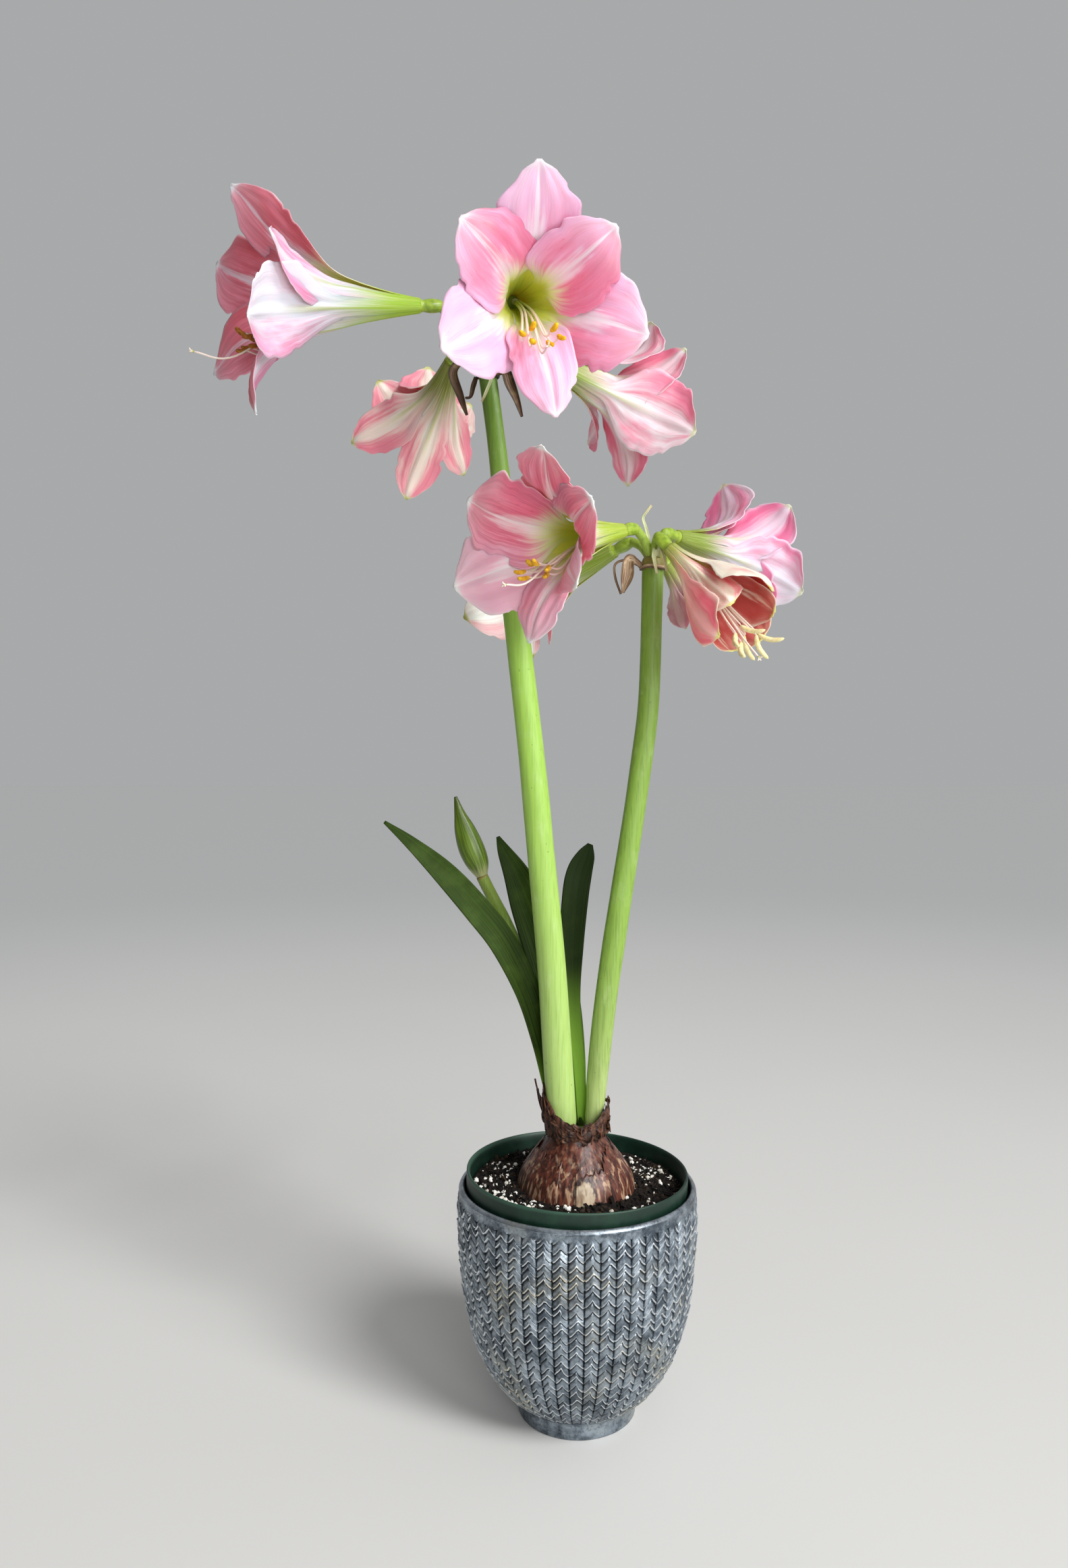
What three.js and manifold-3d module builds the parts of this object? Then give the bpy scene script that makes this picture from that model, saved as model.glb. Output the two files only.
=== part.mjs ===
// Amaryllis in a pot.  Millimetres, +Z up, the origin under the middle of the pot's foot.
// Two flower stalks, a young stalk with a closed bud and three strap leaves grow from one
// bulb in a grower's pot, which stands a little askew inside a glazed cover pot.

import * as THREE from 'three';
import Module from 'manifold-3d';

const wasm = await Module();
wasm.setup();

// ---------------------------------------------------------------- driving dimensions

const GAP = 0.3; // clearance kept between pieces that touch
const SLIVER = 0.08; // the finest detail kept where blades are joined

const COVER = {
  footRadius: 44, footHeight: 11, footTaper: 0.4, wall: 5.5, floorTop: 20, floorRadius: 47,
  columns: 50, rows: 5, firstRow: 24, lastRow: 148, chevronDrop: 6, relief: 0.55, groove: 0.9,
};
const GROWER = {
  rimRadius: 82.5, rimHeight: 181.8, height: 149.5, baseRadius: 55, wall: 1.6, floor: 2, edge: 1.5,
  bandHeight: 15, bandStep: 1.8, tilt: 1.3, drainHoles: 6, drainRadius: 5, drainCircle: 38,
};
// The soil's top is drawn in rings, each so far in from its edge.
const SOIL = {
  below: 12.5, edgeGap: 0.4, floorGap: 0.5, rings: [1, 8, 18, 28], mound: 2.2, bumps: 1.3, sides: 26,
};
const BULB = { x: -1, y: -4, sides: 24 };
// The torn skins round the neck: each bump of their rim holds an angle, a half width and a height.
const COLLAR = {
  outside: [[22.6, 211], [23.4, 216]], inside: [[21.8, 216], [21.2, 211]],
  rimRadius: 25.2, rimHeight: 225, rimWidth: 1.2, lean: 0.3, tooth: 3,
  bumps: [[176, 44, 20], [4, 34, 12], [95, 50, 8]],
};

// A floral tube's rim, middle, root and floor are shares of the midribs' length.
const TUBE = { radius: 4.8, halfWall: 1.6, rim: 0.36, middle: 0.22, root: 0.31, floor: 0.1 };
// A midrib leaves the tube straight ahead, then bends out; each is a share of its span.
const MIDRIB = { ahead: 0.47, out: 0.07, outHalfOpen: 0.03, back: 0.38, backHalfOpen: 0.3 };
const TEPAL = {
  thickness: 1.3, rows: [TUBE.root, 0.5, 0.75, 0.98], columns: 4, blunt: 0.62, sharp: 1.163,
  narrowest: 1.1, crowding: 0.9, overlap: 1.5,
  flatter: 0.1, layer: 0.5, apart: 3.4, ruffle: 0.03, waves: 13.8,
};
const FILAMENT = {
  radius: 0.7, middleRadius: 0.6, start: 0.16, middle: 0.6, fan: 8, lift: 0.35, stagger: 4,
  antherRadius: 1.8, antherLength: 8, longAnther: 18,
};
const OVARY = { length: 15, radius: 5.4, pedicel: 3.2 };
const LEAF_THICKNESS = 2;
const BRACT = { thickness: 0.8, ringWidth: 1.2, ringHalfHeight: 1.6 };

// ---------------------------------------------------------------- colours

const paint = (color, roughness, metalness = 0) => new THREE.MeshStandardMaterial({
  color, roughness, metalness, side: THREE.DoubleSide,
});
const FINISH = {
  pewter: paint(0x66727f, 0.42, 0.35),
  growerGreen: paint(0x1f4a37, 0.55),
  potting: paint(0x2a211b, 0.95),
  tunic: paint(0x7a4630, 0.5),
  stalk: paint(0x84a944, 0.5),
  leaf: paint(0x35502a, 0.5),
  bud: paint(0x9bb260, 0.5),
  petal: paint(0xf08ea6, 0.55),
  paleBloom: paint(0xe79a9a, 0.55),
  stamen: paint(0xf0d27a, 0.6),
  dryBract: paint(0x5f3f26, 0.8),
};

// ---------------------------------------------------------------- the nine blooms
// base: where the floral tube leaves the ovary.  aim: azimuth and elevation of the mouth,
// azimuth 0 to the front (-Y) and 90 to the right (+X).
// Each tepal holds turn (degrees from even spacing), reach along the bloom's axis and spread
// from it to the tip, then the half width and the angle between the tip and the axis.
// Tepals 0, 2 and 4 are the outer whorl.

const UMBEL_TALL = [-67, 8, 776];
const UMBEL_SHORT = [56, 8, 633];

const BLOOMS = [
  {
    base: [-47, -22, 812], aim: [12, -18], umbel: 'tall', stamens: { drop: 32, reach: 112, style: 128 },
    tepals: [
      [-6, 105, 77, 29, 88], [-14, 101, 64, 28, 88], [-15, 105, 75, 33, 88],
      [-11, 100, 76, 22, 88], [0, 105, 75, 33, 88], [6, 101, 69, 28, 88]],
  },
  {
    base: [-115, -2, 817], aim: [-74, -5], umbel: 'tall', stamens: { drop: 36, reach: 128, style: 162 },
    tepals: [
      [-6, 126, 87, 20, 60], [9, 106, 70, 20, 80], [-5, 127, 80, 31, 80],
      [-18, 123, 90, 24, 105], [4, 147, 71, 30, 80], [6, 135, 100, 30, 80]],
  },
  {
    base: [-94, 28, 788], aim: [-162, -20], umbel: 'tall', stamens: { drop: 24, reach: 98, style: 112 },
    tepals: [
      [-6, 92, 68, 24, 120], [-22, 92, 62, 24, 110], [-20, 100, 65, 22, 55],
      [-19, 95, 69, 18, 55], [-18, 100, 47, 17, 50], [8, 92, 54, 24, 100]],
  },
  {
    base: [-24, 20, 786], aim: [131, -10], umbel: 'tall', stamens: { drop: 20, reach: 108, style: 122 },
    tepals: [
      [-14, 86, 66, 29, 130], [-20, 95, 70, 29, 80], [-18, 108, 66, 20, 80],
      [-12, 112, 62, 25, 80], [4, 114, 62, 32, 80], [20, 108, 60, 28, 80]],
  },
  {
    base: [32, -12, 653], aim: [-43, -14], umbel: 'short', stamens: { drop: 19, reach: 104, style: 130 },
    tepals: [
      [25, 105, 70, 31, 85], [8, 100, 66, 27, 85], [9, 100, 47, 22, 85],
      [17, 95, 68, 20, 85], [16, 105, 78, 31, 85], [8, 100, 65, 33, 85]],
  },
  {
    base: [29, 32, 646], aim: [-120, -22], umbel: 'short', stamens: { drop: 9, reach: 102, style: 118 },
    tepals: [
      [-5, 105, 60, 26, 78], [-4, 105, 50, 26, 78], [-20, 110, 62, 26, 78],
      [13, 100, 46, 24, 78], [-5, 97, 52, 20, 78], [0, 100, 62, 26, 78]],
  },
  {
    base: [75, 18, 654], aim: [136, -3], umbel: 'short', stamens: { drop: 16, reach: 104, style: 118 },
    tepals: [
      [20, 88, 68, 27, 115], [5, 98, 64, 27, 85], [0, 102, 56, 27, 85],
      [4, 104, 56, 27, 85], [-4, 106, 56, 29, 85], [20, 100, 54, 27, 85]],
  },
  {
    base: [66, -14, 640], aim: [44, -42], umbel: 'short', halfOpen: true,
    stamens: { drop: 4, reach: 98, style: 112 },
    tepals: [
      [12, 88, 29, 25, -12], [6, 90, 28, 24, -18], [-10, 92, 30, 24, -12],
      [-15, 93, 23, 24, -25], [10, 94, 26, 24, -25], [3, 82, 19, 22, -15]],
  },
  {
    base: [68, 29, 636], aim: [126, -44], umbel: 'short', roll: 60,
    stamens: { drop: 1, reach: 48, style: 56 },
    tepals: [
      [0, 51, 20, 13, 25], [0, 50, 19, 12, 25], [0, 49, 21, 13, 25],
      [0, 50, 19, 12, 25], [0, 51, 20, 13, 25], [0, 50, 19, 12, 25]],
  },
];

// ---------------------------------------------------------------- stalks, leaves and bracts
// Each row of a path is x, y, z and the half width there.

const SCAPE_TALL = [
  [-10.3, -5, 212.6, 9.3], [-12, -5, 232, 10.9], [-19, -6, 334, 10.6], [-27, -6, 421, 10.1],
  [-34, -5, 491, 9.6], [-43, -3, 570, 9.2], [-52, 0, 649, 8.2], [-59, 4, 716, 6.8], [-67, 8, 776, 6.6]];
const SCAPE_SHORT = [
  [11.5, -4, 212.6, 6], [13.5, -4, 232, 7], [16, -4, 263, 8], [22, -5, 316, 8.2], [32, -4, 386, 8.2],
  [43, -2, 456, 8], [52, 1, 525, 7.8], [55, 5, 595, 7.8], [56, 8, 633, 8]];
const SCAPE_YOUNG = [
  [-9, 11.2, 212.6, 3.3], [-15, 19, 250, 4.2], [-24, 27, 290, 4.5], [-37, 31, 324, 4.7],
  [-50, 30, 354, 4.8], [-63, 27, 380, 4.8], [-72, 24, 398.5, 4.6]];
const BUD = [
  [-72.6, 24, 401, 4.8], [-75, 23, 408, 8.4], [-80, 23, 420, 9.6], [-85, 24, 434, 7.8],
  [-89, 24, 447, 4], [-92, 25, 459, 1.2]];

const LEAVES = {
  leaf_long_left: {
    facing: [0.15, -1, 0.35], fold: 2.5,
    path: [
      [-12.5, 6, 213.4, 4.6], [-18, 7.5, 242, 7.5], [-26, 8, 277, 8.5], [-37, 8, 313, 9.5],
      [-55, 8, 349, 10.5], [-74, 8, 374, 10.6], [-99, 8, 402, 9], [-124, 8, 425, 5], [-144, 8, 441, 1.2]],
  },
  leaf_centre: {
    facing: [0, -1, 0.12], fold: 4,
    path: [
      [0.5, 9, 212.6, 5], [-3, 16, 255, 10], [-13, 22, 305, 15.5], [-24, 26, 346, 17],
      [-36, 28, 377, 14.5], [-46, 29, 400, 9.8], [-55, 30, 417, 5.2], [-60, 31, 428, 1.2]],
  },
  leaf_right: {
    facing: [0, -1, 0.1], fold: 2.5,
    path: [
      [5, 2.6, 212.6, 4.2], [1.6, 6, 257, 4.2], [-3.2, 9, 307, 5.9], [-3.8, 11, 348, 8.9],
      [-1.2, 13, 383, 9.9], [2, 15, 402, 9.6], [7, 16, 415, 6.8], [10.5, 17, 423.5, 2]],
  },
  leaf_tip: {
    facing: [0, -1, 0.1], fold: 0.6,
    path: [[2.5, -6, 212.2, 2.4], [2.6, -6, 217, 2.2], [2.2, -6, 222, 0.9]],
  },
};

const DRY_BRACTS = {
  spathe_tall: {
    anchor: [-66.2, 7.6, 776], ringRadius: 7.6, ringDrop: 6,
    blades: [
      [[-74.8, 6, 771, 2.2], [-84, 0, 777, 2.4], [-91, -3, 768, 3.2], [-86, -4, 752, 2.7],
        [-81, -4, 738, 0.9]],
      [[-74.6, 8, 769, 1.6], [-77, 9, 762, 1.8], [-79, 9, 755, 1.2], [-83, 9, 754, 0.8]],
      [[-58, 6, 771, 2.2], [-53, 3, 771, 3.4], [-50, 1, 762, 3.8], [-45, 0, 750, 2.5], [-41, 0, 738, 0.9]],
    ],
  },
  spathe_short: {
    anchor: UMBEL_SHORT, ringRadius: 8.8, ringDrop: 3.5,
    blades: [
      [[46.6, 6, 630.5, 2.2], [42, 4, 634, 2.4], [37.5, 2, 634, 3.6], [36, 0, 622, 4.6], [33, -1, 610, 1]],
      [[46.9, 8, 630.5, 1], [36, 9, 635, 1], [28, 8, 632, 0.8], [28, 7, 622, 0.8], [32, 6, 610, 0.8]],
    ],
  },
};

const BRACTEOLES = {
  tall: [
    [[-66, 6, 775, 1.4], [-62.6, -4.5, 775, 1.4], [-63, -7.5, 764, 1.2], [-67, -8, 753, 1],
      [-70, -7, 747, 0.8]]],
  short: [
    [[55, 6, 634, 1.6], [53, 4, 647, 1.3], [50, 3, 658, 1.1], [48, 2, 665, 1], [51, 1, 670, 0.9],
      [54, 1, 674, 0.8]],
    [[56, 6, 634, 1.8], [56, -4, 641, 1.8], [55, -8, 635, 1.4], [57, -9, 623, 0.8]],
    [[59, 6, 634, 1.8], [60, -4, 643, 1.8], [62, -8, 637, 1.4], [64, -9, 625, 0.8]],
  ],
};

// ---------------------------------------------------------------- small maths

const degrees = THREE.MathUtils.degToRad;
const vector = (array) => new THREE.Vector3(array[0], array[1], array[2]);
const smooth = (low, high, value) => THREE.MathUtils.smoothstep(value, low, high);
const mix = THREE.MathUtils.lerp;

function direction(azimuth, elevation) {
  const flat = Math.cos(degrees(elevation));
  return new THREE.Vector3(
    Math.sin(degrees(azimuth)) * flat, -Math.cos(degrees(azimuth)) * flat, Math.sin(degrees(elevation)));
}

// A repeatable number from 0 to 1 for a whole number.
function scatter(seed) {
  const wave = Math.sin(seed * 127.1 + 11.7) * 43758.5453;
  return wave - Math.floor(wave);
}

// The value at t, from 0 to 1, of a row of evenly spaced numbers.
function along(values, t) {
  const place = Math.min(t * (values.length - 1), values.length - 1.0001);
  const cell = Math.floor(place);
  return mix(values[cell], values[cell + 1], place - cell);
}

// ---------------------------------------------------------------- solids from rings

function signedVolume(positions, indices) {
  const [a, b, c] = [new THREE.Vector3(), new THREE.Vector3(), new THREE.Vector3()];
  let volume = 0;
  for (let i = 0; i < indices.length; i += 3) {
    a.fromArray(positions, indices[i] * 3);
    b.fromArray(positions, indices[i + 1] * 3);
    c.fromArray(positions, indices[i + 2] * 3);
    volume += a.dot(b.cross(c)) / 6;
  }
  return volume;
}

// A closed solid through a row of rings that all have the same number of points.
// Each end is closed by a ladder between the two halves of its ring.
function loft(rings) {
  const sides = rings[0].length;
  const positions = rings.flat().flatMap((point) => [point.x, point.y, point.z]);
  const indices = [];
  for (let row = 0; row + 1 < rings.length; row += 1) {
    for (let side = 0; side < sides; side += 1) {
      const a = row * sides + side;
      const b = row * sides + (side + 1) % sides;
      indices.push(a, b, b + sides, a, b + sides, a + sides);
    }
  }
  const closeEnd = (start, outward) => {
    for (let step = 0; step + 1 < sides / 2; step += 1) {
      const [a, b] = [start + step, start + step + 1];
      const [c, d] = [start + sides - 2 - step, start + sides - 1 - step];
      for (const face of [[a, b, d], [b, c, d]]) {
        if (new Set(face).size === 3) indices.push(...(outward ? face : face.reverse()));
      }
    }
  };
  closeEnd(0, false);
  closeEnd((rings.length - 1) * sides, true);
  if (signedVolume(positions, indices) < 0) {
    for (let i = 0; i < indices.length; i += 3) {
      [indices[i], indices[i + 1]] = [indices[i + 1], indices[i]];
    }
  }
  return new wasm.Manifold(new wasm.Mesh({
    numProp: 3,
    vertProperties: new Float32Array(positions),
    triVerts: new Uint32Array(indices),
  }));
}

function circle(radius, z, sides, centre = [0, 0]) {
  return Array.from({ length: sides }, (_, side) => {
    const angle = (2 * Math.PI * side) / sides;
    return new THREE.Vector3(
      centre[0] + radius * Math.cos(angle), centre[1] + radius * Math.sin(angle), z);
  });
}

// A turned solid from rows of radius and height.
const turned = (profile, sides, centre) => loft(profile.map(([r, z]) => circle(r, z, sides, centre)));

const join = (solids) => wasm.Manifold.union(solids);

// The outer skin of a joined solid: a pocket shut in between overlapping blades is filled,
// and slivers finer than the tolerance are smoothed away.
function withoutPockets(solid) {
  const skins = solid.decompose();
  return skins.reduce((best, part) => (part.volume() > best.volume() ? part : best)).simplify(SLIVER);
}

function geometryOf(solid) {
  const mesh = solid.getMesh();
  const geometry = new THREE.BufferGeometry();
  const points = new Float32Array(mesh.numVert * 3);
  for (let i = 0; i < mesh.numVert; i += 1) {
    points.set(mesh.vertProperties.subarray(i * mesh.numProp, i * mesh.numProp + 3), i * 3);
  }
  geometry.setAttribute('position', new THREE.BufferAttribute(points, 3));
  geometry.setIndex(new THREE.BufferAttribute(new Uint32Array(mesh.triVerts), 1));
  geometry.computeVertexNormals();
  return geometry;
}

function piece(name, solid, material) {
  const mesh = new THREE.Mesh(geometryOf(solid), material);
  mesh.name = name;
  return mesh;
}

// Points, directions and half widths at even steps along a path of [x, y, z, half width].
function walk(path, steps) {
  const curve = new THREE.CatmullRomCurve3(path.map(vector), false, 'catmullrom', 0.5);
  const widths = path.map((row) => row[3]);
  return Array.from({ length: steps + 1 }, (_, step) => {
    const t = step / steps;
    return { point: curve.getPoint(t), ahead: curve.getTangent(t), width: along(widths, t) };
  });
}

// A round or oval rod along a path; depth is its thickness over its width.
function rod(path, sides, steps, depth = 1) {
  return loft(walk(path, steps).map(({ point, ahead, width }) => {
    const reference = Math.abs(ahead.y) > 0.9 ? new THREE.Vector3(1, 0, 0) : new THREE.Vector3(0, 1, 0);
    const across = new THREE.Vector3().crossVectors(ahead, reference).normalize();
    const deep = new THREE.Vector3().crossVectors(across, ahead).normalize();
    return Array.from({ length: sides }, (_, side) => {
      const angle = (2 * Math.PI * side) / sides;
      return point.clone()
        .addScaledVector(across, width * Math.cos(angle))
        .addScaledVector(deep, width * depth * Math.sin(angle));
    });
  }));
}

// The ring of a thin blade: along its upper face and back along its lower face.
function bladeRing(points, normals, thickness) {
  const shifted = (sign) => points.map((point, i) => point.clone()
    .addScaledVector(normals[i], (sign * thickness) / 2));
  return [...shifted(1), ...shifted(-1).reverse()];
}

// A strap: a blade along a path, its face turned to one side, folded along the middle.
function strap(path, facing, fold, thickness, steps, across = [-1, -0.5, 0, 0.5, 1]) {
  return loft(walk(path, steps).map(({ point, ahead, width }) => {
    const side = new THREE.Vector3().crossVectors(ahead, vector(facing)).normalize();
    const up = new THREE.Vector3().crossVectors(side, ahead).normalize();
    const lift = (fold * width) / 17;
    const points = across.map((q) => point.clone()
      .addScaledVector(side, q * width)
      .addScaledVector(up, lift * q * q));
    return bladeRing(points, across.map(() => up), thickness);
  }));
}

// ---------------------------------------------------------------- cover pot

// Radius and height of the outside, from above the foot to below the lip.
const COVER_SIDE = [
  [46.5, 13.5], [51.5, 17], [59.5, 25], [68.6, 38], [76.6, 55], [82.4, 75], [86, 95], [88, 115],
  [89.3, 135], [89.8, 150], [89.6, 160]];
const COVER_LIP = [[89.6, 162], [88.4, 168.5], [85.8, 172]];
const COVER_MOUTH = [[84.9, 173], [84, 169.5], [83.7, 160]];
const COVER_INSIDE = [100, 60, 32]; // heights where the inside is drawn a wall's width in

function coverRadius(z) {
  const row = COVER_SIDE.findIndex((pair) => pair[1] > z);
  if (row < 1) return row === 0 ? COVER_SIDE[0][0] : COVER_SIDE.at(-1)[0];
  const [lower, upper] = [COVER_SIDE[row - 1], COVER_SIDE[row]];
  return mix(lower[0], upper[0], (z - lower[1]) / (upper[1] - lower[1]));
}

// One ring of the chevron relief: grooves at the even points, leaf ridges between them.
function chevronRing(row) {
  const sides = COVER.columns * 2;
  const t = row / (COVER.rows - 1);
  const height = mix(COVER.firstRow, COVER.lastRow, t);
  const swell = row % 2 ? COVER.relief : -COVER.relief;
  return Array.from({ length: sides }, (_, side) => {
    const ridge = side % 2 === 1;
    const z = height + (ridge ? COVER.chevronDrop : 0);
    const radius = coverRadius(z) + swell - (ridge ? 0 : COVER.groove);
    const angle = (2 * Math.PI * side) / sides;
    return new THREE.Vector3(radius * Math.cos(angle), radius * Math.sin(angle), z);
  });
}

function coverPot() {
  const sides = COVER.columns * 2;
  const body = loft([
    circle(COVER.footRadius, 0, sides),
    circle(COVER.footRadius - COVER.footTaper, COVER.footHeight, sides),
    circle(...COVER_SIDE[0], sides),
    ...Array.from({ length: COVER.rows }, (_, row) => chevronRing(row)),
    ...COVER_LIP.map(([radius, z]) => circle(radius, z, sides)),
  ]);
  const inside = COVER_INSIDE.map((z) => [coverRadius(z) - COVER.wall, z]);
  const hollow = turned([...COVER_MOUTH, ...inside, [COVER.floorRadius, COVER.floorTop]], 36);
  return piece('cachepot', body.subtract(hollow), FINISH.pewter);
}

// ---------------------------------------------------------------- grower's pot and soil
// Both are drawn upright with z = 0 at the rim and lean together.

function growerPot() {
  const { rimRadius, height, baseRadius, wall, floor, edge, bandHeight, bandStep } = GROWER;
  const outside = turned([
    [baseRadius - edge, -height], [baseRadius, -height + edge], [rimRadius - bandStep, -bandHeight],
    [rimRadius, -bandHeight + 0.6], [rimRadius - 0.3, 0]], 32);
  const inside = turned([
    [baseRadius - wall - 1, -height + floor], [rimRadius - bandStep - wall, -bandHeight - 1],
    [rimRadius - bandStep - 0.4, 1]], 32);
  const holes = Array.from({ length: GROWER.drainHoles }, (_, i) => {
    const angle = (2 * Math.PI * i) / GROWER.drainHoles;
    const centre = [GROWER.drainCircle * Math.cos(angle), GROWER.drainCircle * Math.sin(angle)];
    const [below, above] = [-height - 1, -height + 2 * floor];
    return turned([[GROWER.drainRadius, below], [GROWER.drainRadius, above]], 8, centre);
  });
  return piece('nursery_pot', outside.subtract(join([inside, ...holes])), FINISH.growerGreen);
}

function soil() {
  const { below, edgeGap, floorGap, rings, mound, bumps, sides } = SOIL;
  const { baseRadius, wall, floor, edge: rounding, height, bandHeight, rimRadius, bandStep } = GROWER;
  const edge = rimRadius - bandStep - wall - edgeGap;
  const surface = rings.map((inset, row) => {
    const ring = circle(edge - inset, -below, sides);
    ring.forEach((point, side) => {
      const rise = mound * (row / (rings.length - 1));
      point.z += rise + bumps * (scatter(row * sides + side) - 0.5) * (row ? 2 : 0.6);
    });
    return ring;
  });
  const foot = -height + floor + floorGap;
  const body = loft([
    circle(baseRadius - wall - 2 * rounding, foot, sides),
    circle(baseRadius - wall - rounding, foot + 1, sides),
    circle(edge - 0.5, -bandHeight - 2, sides), ...surface]);
  return body.rotate([0, GROWER.tilt, 0]).translate([0, 0, GROWER.rimHeight]).subtract(bulbHollow());
}

// ---------------------------------------------------------------- bulb with its torn skins

const BULB_SIDE = [
  [12, 126], [28, 128.5], [39, 138], [43.6, 152], [44.2, 163], [42.8, 172], [39.4, 183], [32.8, 193],
  [26.4, 201], [22.6, 206]];

// How far the torn skins rise above the neck at an angle round it.
function tornHeight(angle, side) {
  const bump = (centre, width, height) => {
    const away = Math.abs(THREE.MathUtils.euclideanModulo(angle - centre + 180, 360) - 180);
    return height * Math.max(0, 1 - away / width);
  };
  const raised = COLLAR.bumps.reduce((sum, [turn, width, height]) => sum + bump(turn, width, height), 0);
  return COLLAR.rimHeight + raised + (side % 2 ? 1 : -1) * COLLAR.tooth * (0.5 + scatter(side));
}

function bulb() {
  const sides = BULB.sides;
  const centre = [BULB.x, BULB.y];
  const ring = ([radius, z]) => circle(radius, z, sides, centre);
  const rim = (radius, drop) => Array.from({ length: sides }, (_, side) => {
    const angle = (360 * side) / sides;
    const z = tornHeight(angle, side);
    const out = radius + Math.max(0, z - COLLAR.rimHeight) * COLLAR.lean;
    return new THREE.Vector3(
      centre[0] + out * Math.cos(degrees(angle)), centre[1] + out * Math.sin(degrees(angle)), z - drop);
  });
  return loft([
    ...BULB_SIDE.map(ring), ...COLLAR.outside.map(ring),
    rim(COLLAR.rimRadius, 0), rim(COLLAR.rimRadius - COLLAR.rimWidth, GAP), ...COLLAR.inside.map(ring)]);
}

const bulbHollow = () => turned([
  ...BULB_SIDE.slice(0, 6).map(([r, z]) => [r + GAP, z - GAP]), [41.5, 185]], BULB.sides, [BULB.x, BULB.y]);

// ---------------------------------------------------------------- blooms

// A bloom's own frame: its axis, and two directions across it, the first as upright as it can be.
function bloomFrame(bloom) {
  const axis = direction(...bloom.aim);
  const up = new THREE.Vector3(0, 0, 1).addScaledVector(axis, -axis.z).normalize();
  const side = new THREE.Vector3().crossVectors(up, axis);
  const across = (angle) => up.clone().multiplyScalar(Math.cos(degrees(angle)))
    .addScaledVector(side, Math.sin(degrees(angle)));
  const at = (ahead, out, angle) => vector(bloom.base).addScaledVector(axis, ahead)
    .addScaledVector(across(angle), out);
  return { axis, across, at };
}

// The midrib of one tepal: a curve from the floral tube to the tip.
function midrib(bloom, index) {
  const frame = bloomFrame(bloom);
  const [turn, reach, spread, halfWidth, tipAngle] = bloom.tepals[index];
  const rootAngle = (bloom.roll ?? 0) + 60 * index;
  const tipOut = frame.across(rootAngle + turn);
  const root = frame.at(0, TUBE.radius, rootAngle);
  const tip = frame.at(reach, spread, rootAngle + turn);
  const length = tip.distanceTo(root);
  const atTip = frame.axis.clone().multiplyScalar(Math.cos(degrees(tipAngle)))
    .addScaledVector(tipOut, Math.sin(degrees(tipAngle)));
  const out = bloom.halfOpen ? MIDRIB.outHalfOpen : MIDRIB.out;
  const first = root.clone().addScaledVector(frame.axis, MIDRIB.ahead * length)
    .addScaledVector(frame.across(rootAngle), out * length);
  const back = bloom.halfOpen ? MIDRIB.backHalfOpen : MIDRIB.back;
  const second = tip.clone().addScaledVector(atTip, -back * length);
  const curve = new THREE.CubicBezierCurve3(root, first, second, tip);
  return { frame, curve, halfWidth, rootAngle, turn };
}

// The half width of a tepal at s over its greatest half width.
function leafShape(s) {
  const { blunt, sharp } = TEPAL;
  const widest = sharp / (sharp + blunt);
  return (s / widest) ** sharp * (Math.max(0, 1 - s) / (1 - widest)) ** blunt;
}

// The row of points across one tepal at s, from 0 at the tube to 1 at the tip.
function tepalRow(bloom, index, s) {
  const { frame, curve, halfWidth, rootAngle, turn } = midrib(bloom, index);
  const { axis } = frame;
  const centre = curve.getPointAt(s);
  const ahead = curve.getTangentAt(s);
  const out = frame.across(rootAngle + turn * smooth(0, 0.8, s));
  const across = new THREE.Vector3().crossVectors(axis, out);
  across.addScaledVector(ahead, -across.dot(ahead)).normalize();
  const inward = new THREE.Vector3().crossVectors(ahead, across);
  const fromBase = centre.clone().sub(vector(bloom.base));
  const radius = Math.max(1, fromBase.addScaledVector(axis, -fromBase.dot(axis)).length());
  const sixth = (Math.PI * radius) / 6;
  const widest = bloom.halfOpen ? TEPAL.overlap * sixth : halfWidth;
  const opened = halfWidth * leafShape(s) + TUBE.radius * 0.7 * (1 - s) ** 3;
  const free = Math.max(TEPAL.narrowest, Math.min(opened, widest));
  const half = mix(Math.min(free, TEPAL.crowding * sixth), free, smooth(0.45, 0.75, s));
  const bend = (ahead.dot(axis) / radius) * (1 - TEPAL.flatter * smooth(0.3, 0.8, s)) + 1e-6;
  const parted = smooth(TUBE.rim, 0.5, s) * (1 - smooth(0.8, 1, s));
  const layer = (index % 2 ? 1 : -1) * (TEPAL.layer + TEPAL.apart * parted);
  const ruffle = TEPAL.ruffle * halfWidth * smooth(0.45, 0.65, s);
  const points = [];
  const normals = [];
  for (let column = 0; column < TEPAL.columns; column += 1) {
    const q = (2 * column) / (TEPAL.columns - 1) - 1;
    const angle = THREE.MathUtils.clamp(bend * half * q, -2.6, 2.6);
    const wave = ruffle * q * q * Math.sin(TEPAL.waves * s + Math.sign(q) * 1.1 + index);
    const depth = (1 - Math.cos(angle)) / bend + layer + wave;
    points.push(centre.clone().addScaledVector(across, Math.sin(angle) / bend)
      .addScaledVector(inward, depth));
    normals.push(across.clone().multiplyScalar(-Math.sin(angle))
      .addScaledVector(inward, Math.cos(angle)));
  }
  return { points, normals };
}

function tepal(bloom, index) {
  return loft(TEPAL.rows.map((s) => {
    const { points, normals } = tepalRow(bloom, index, s);
    return bladeRing(points, normals, TEPAL.thickness);
  }));
}

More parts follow.
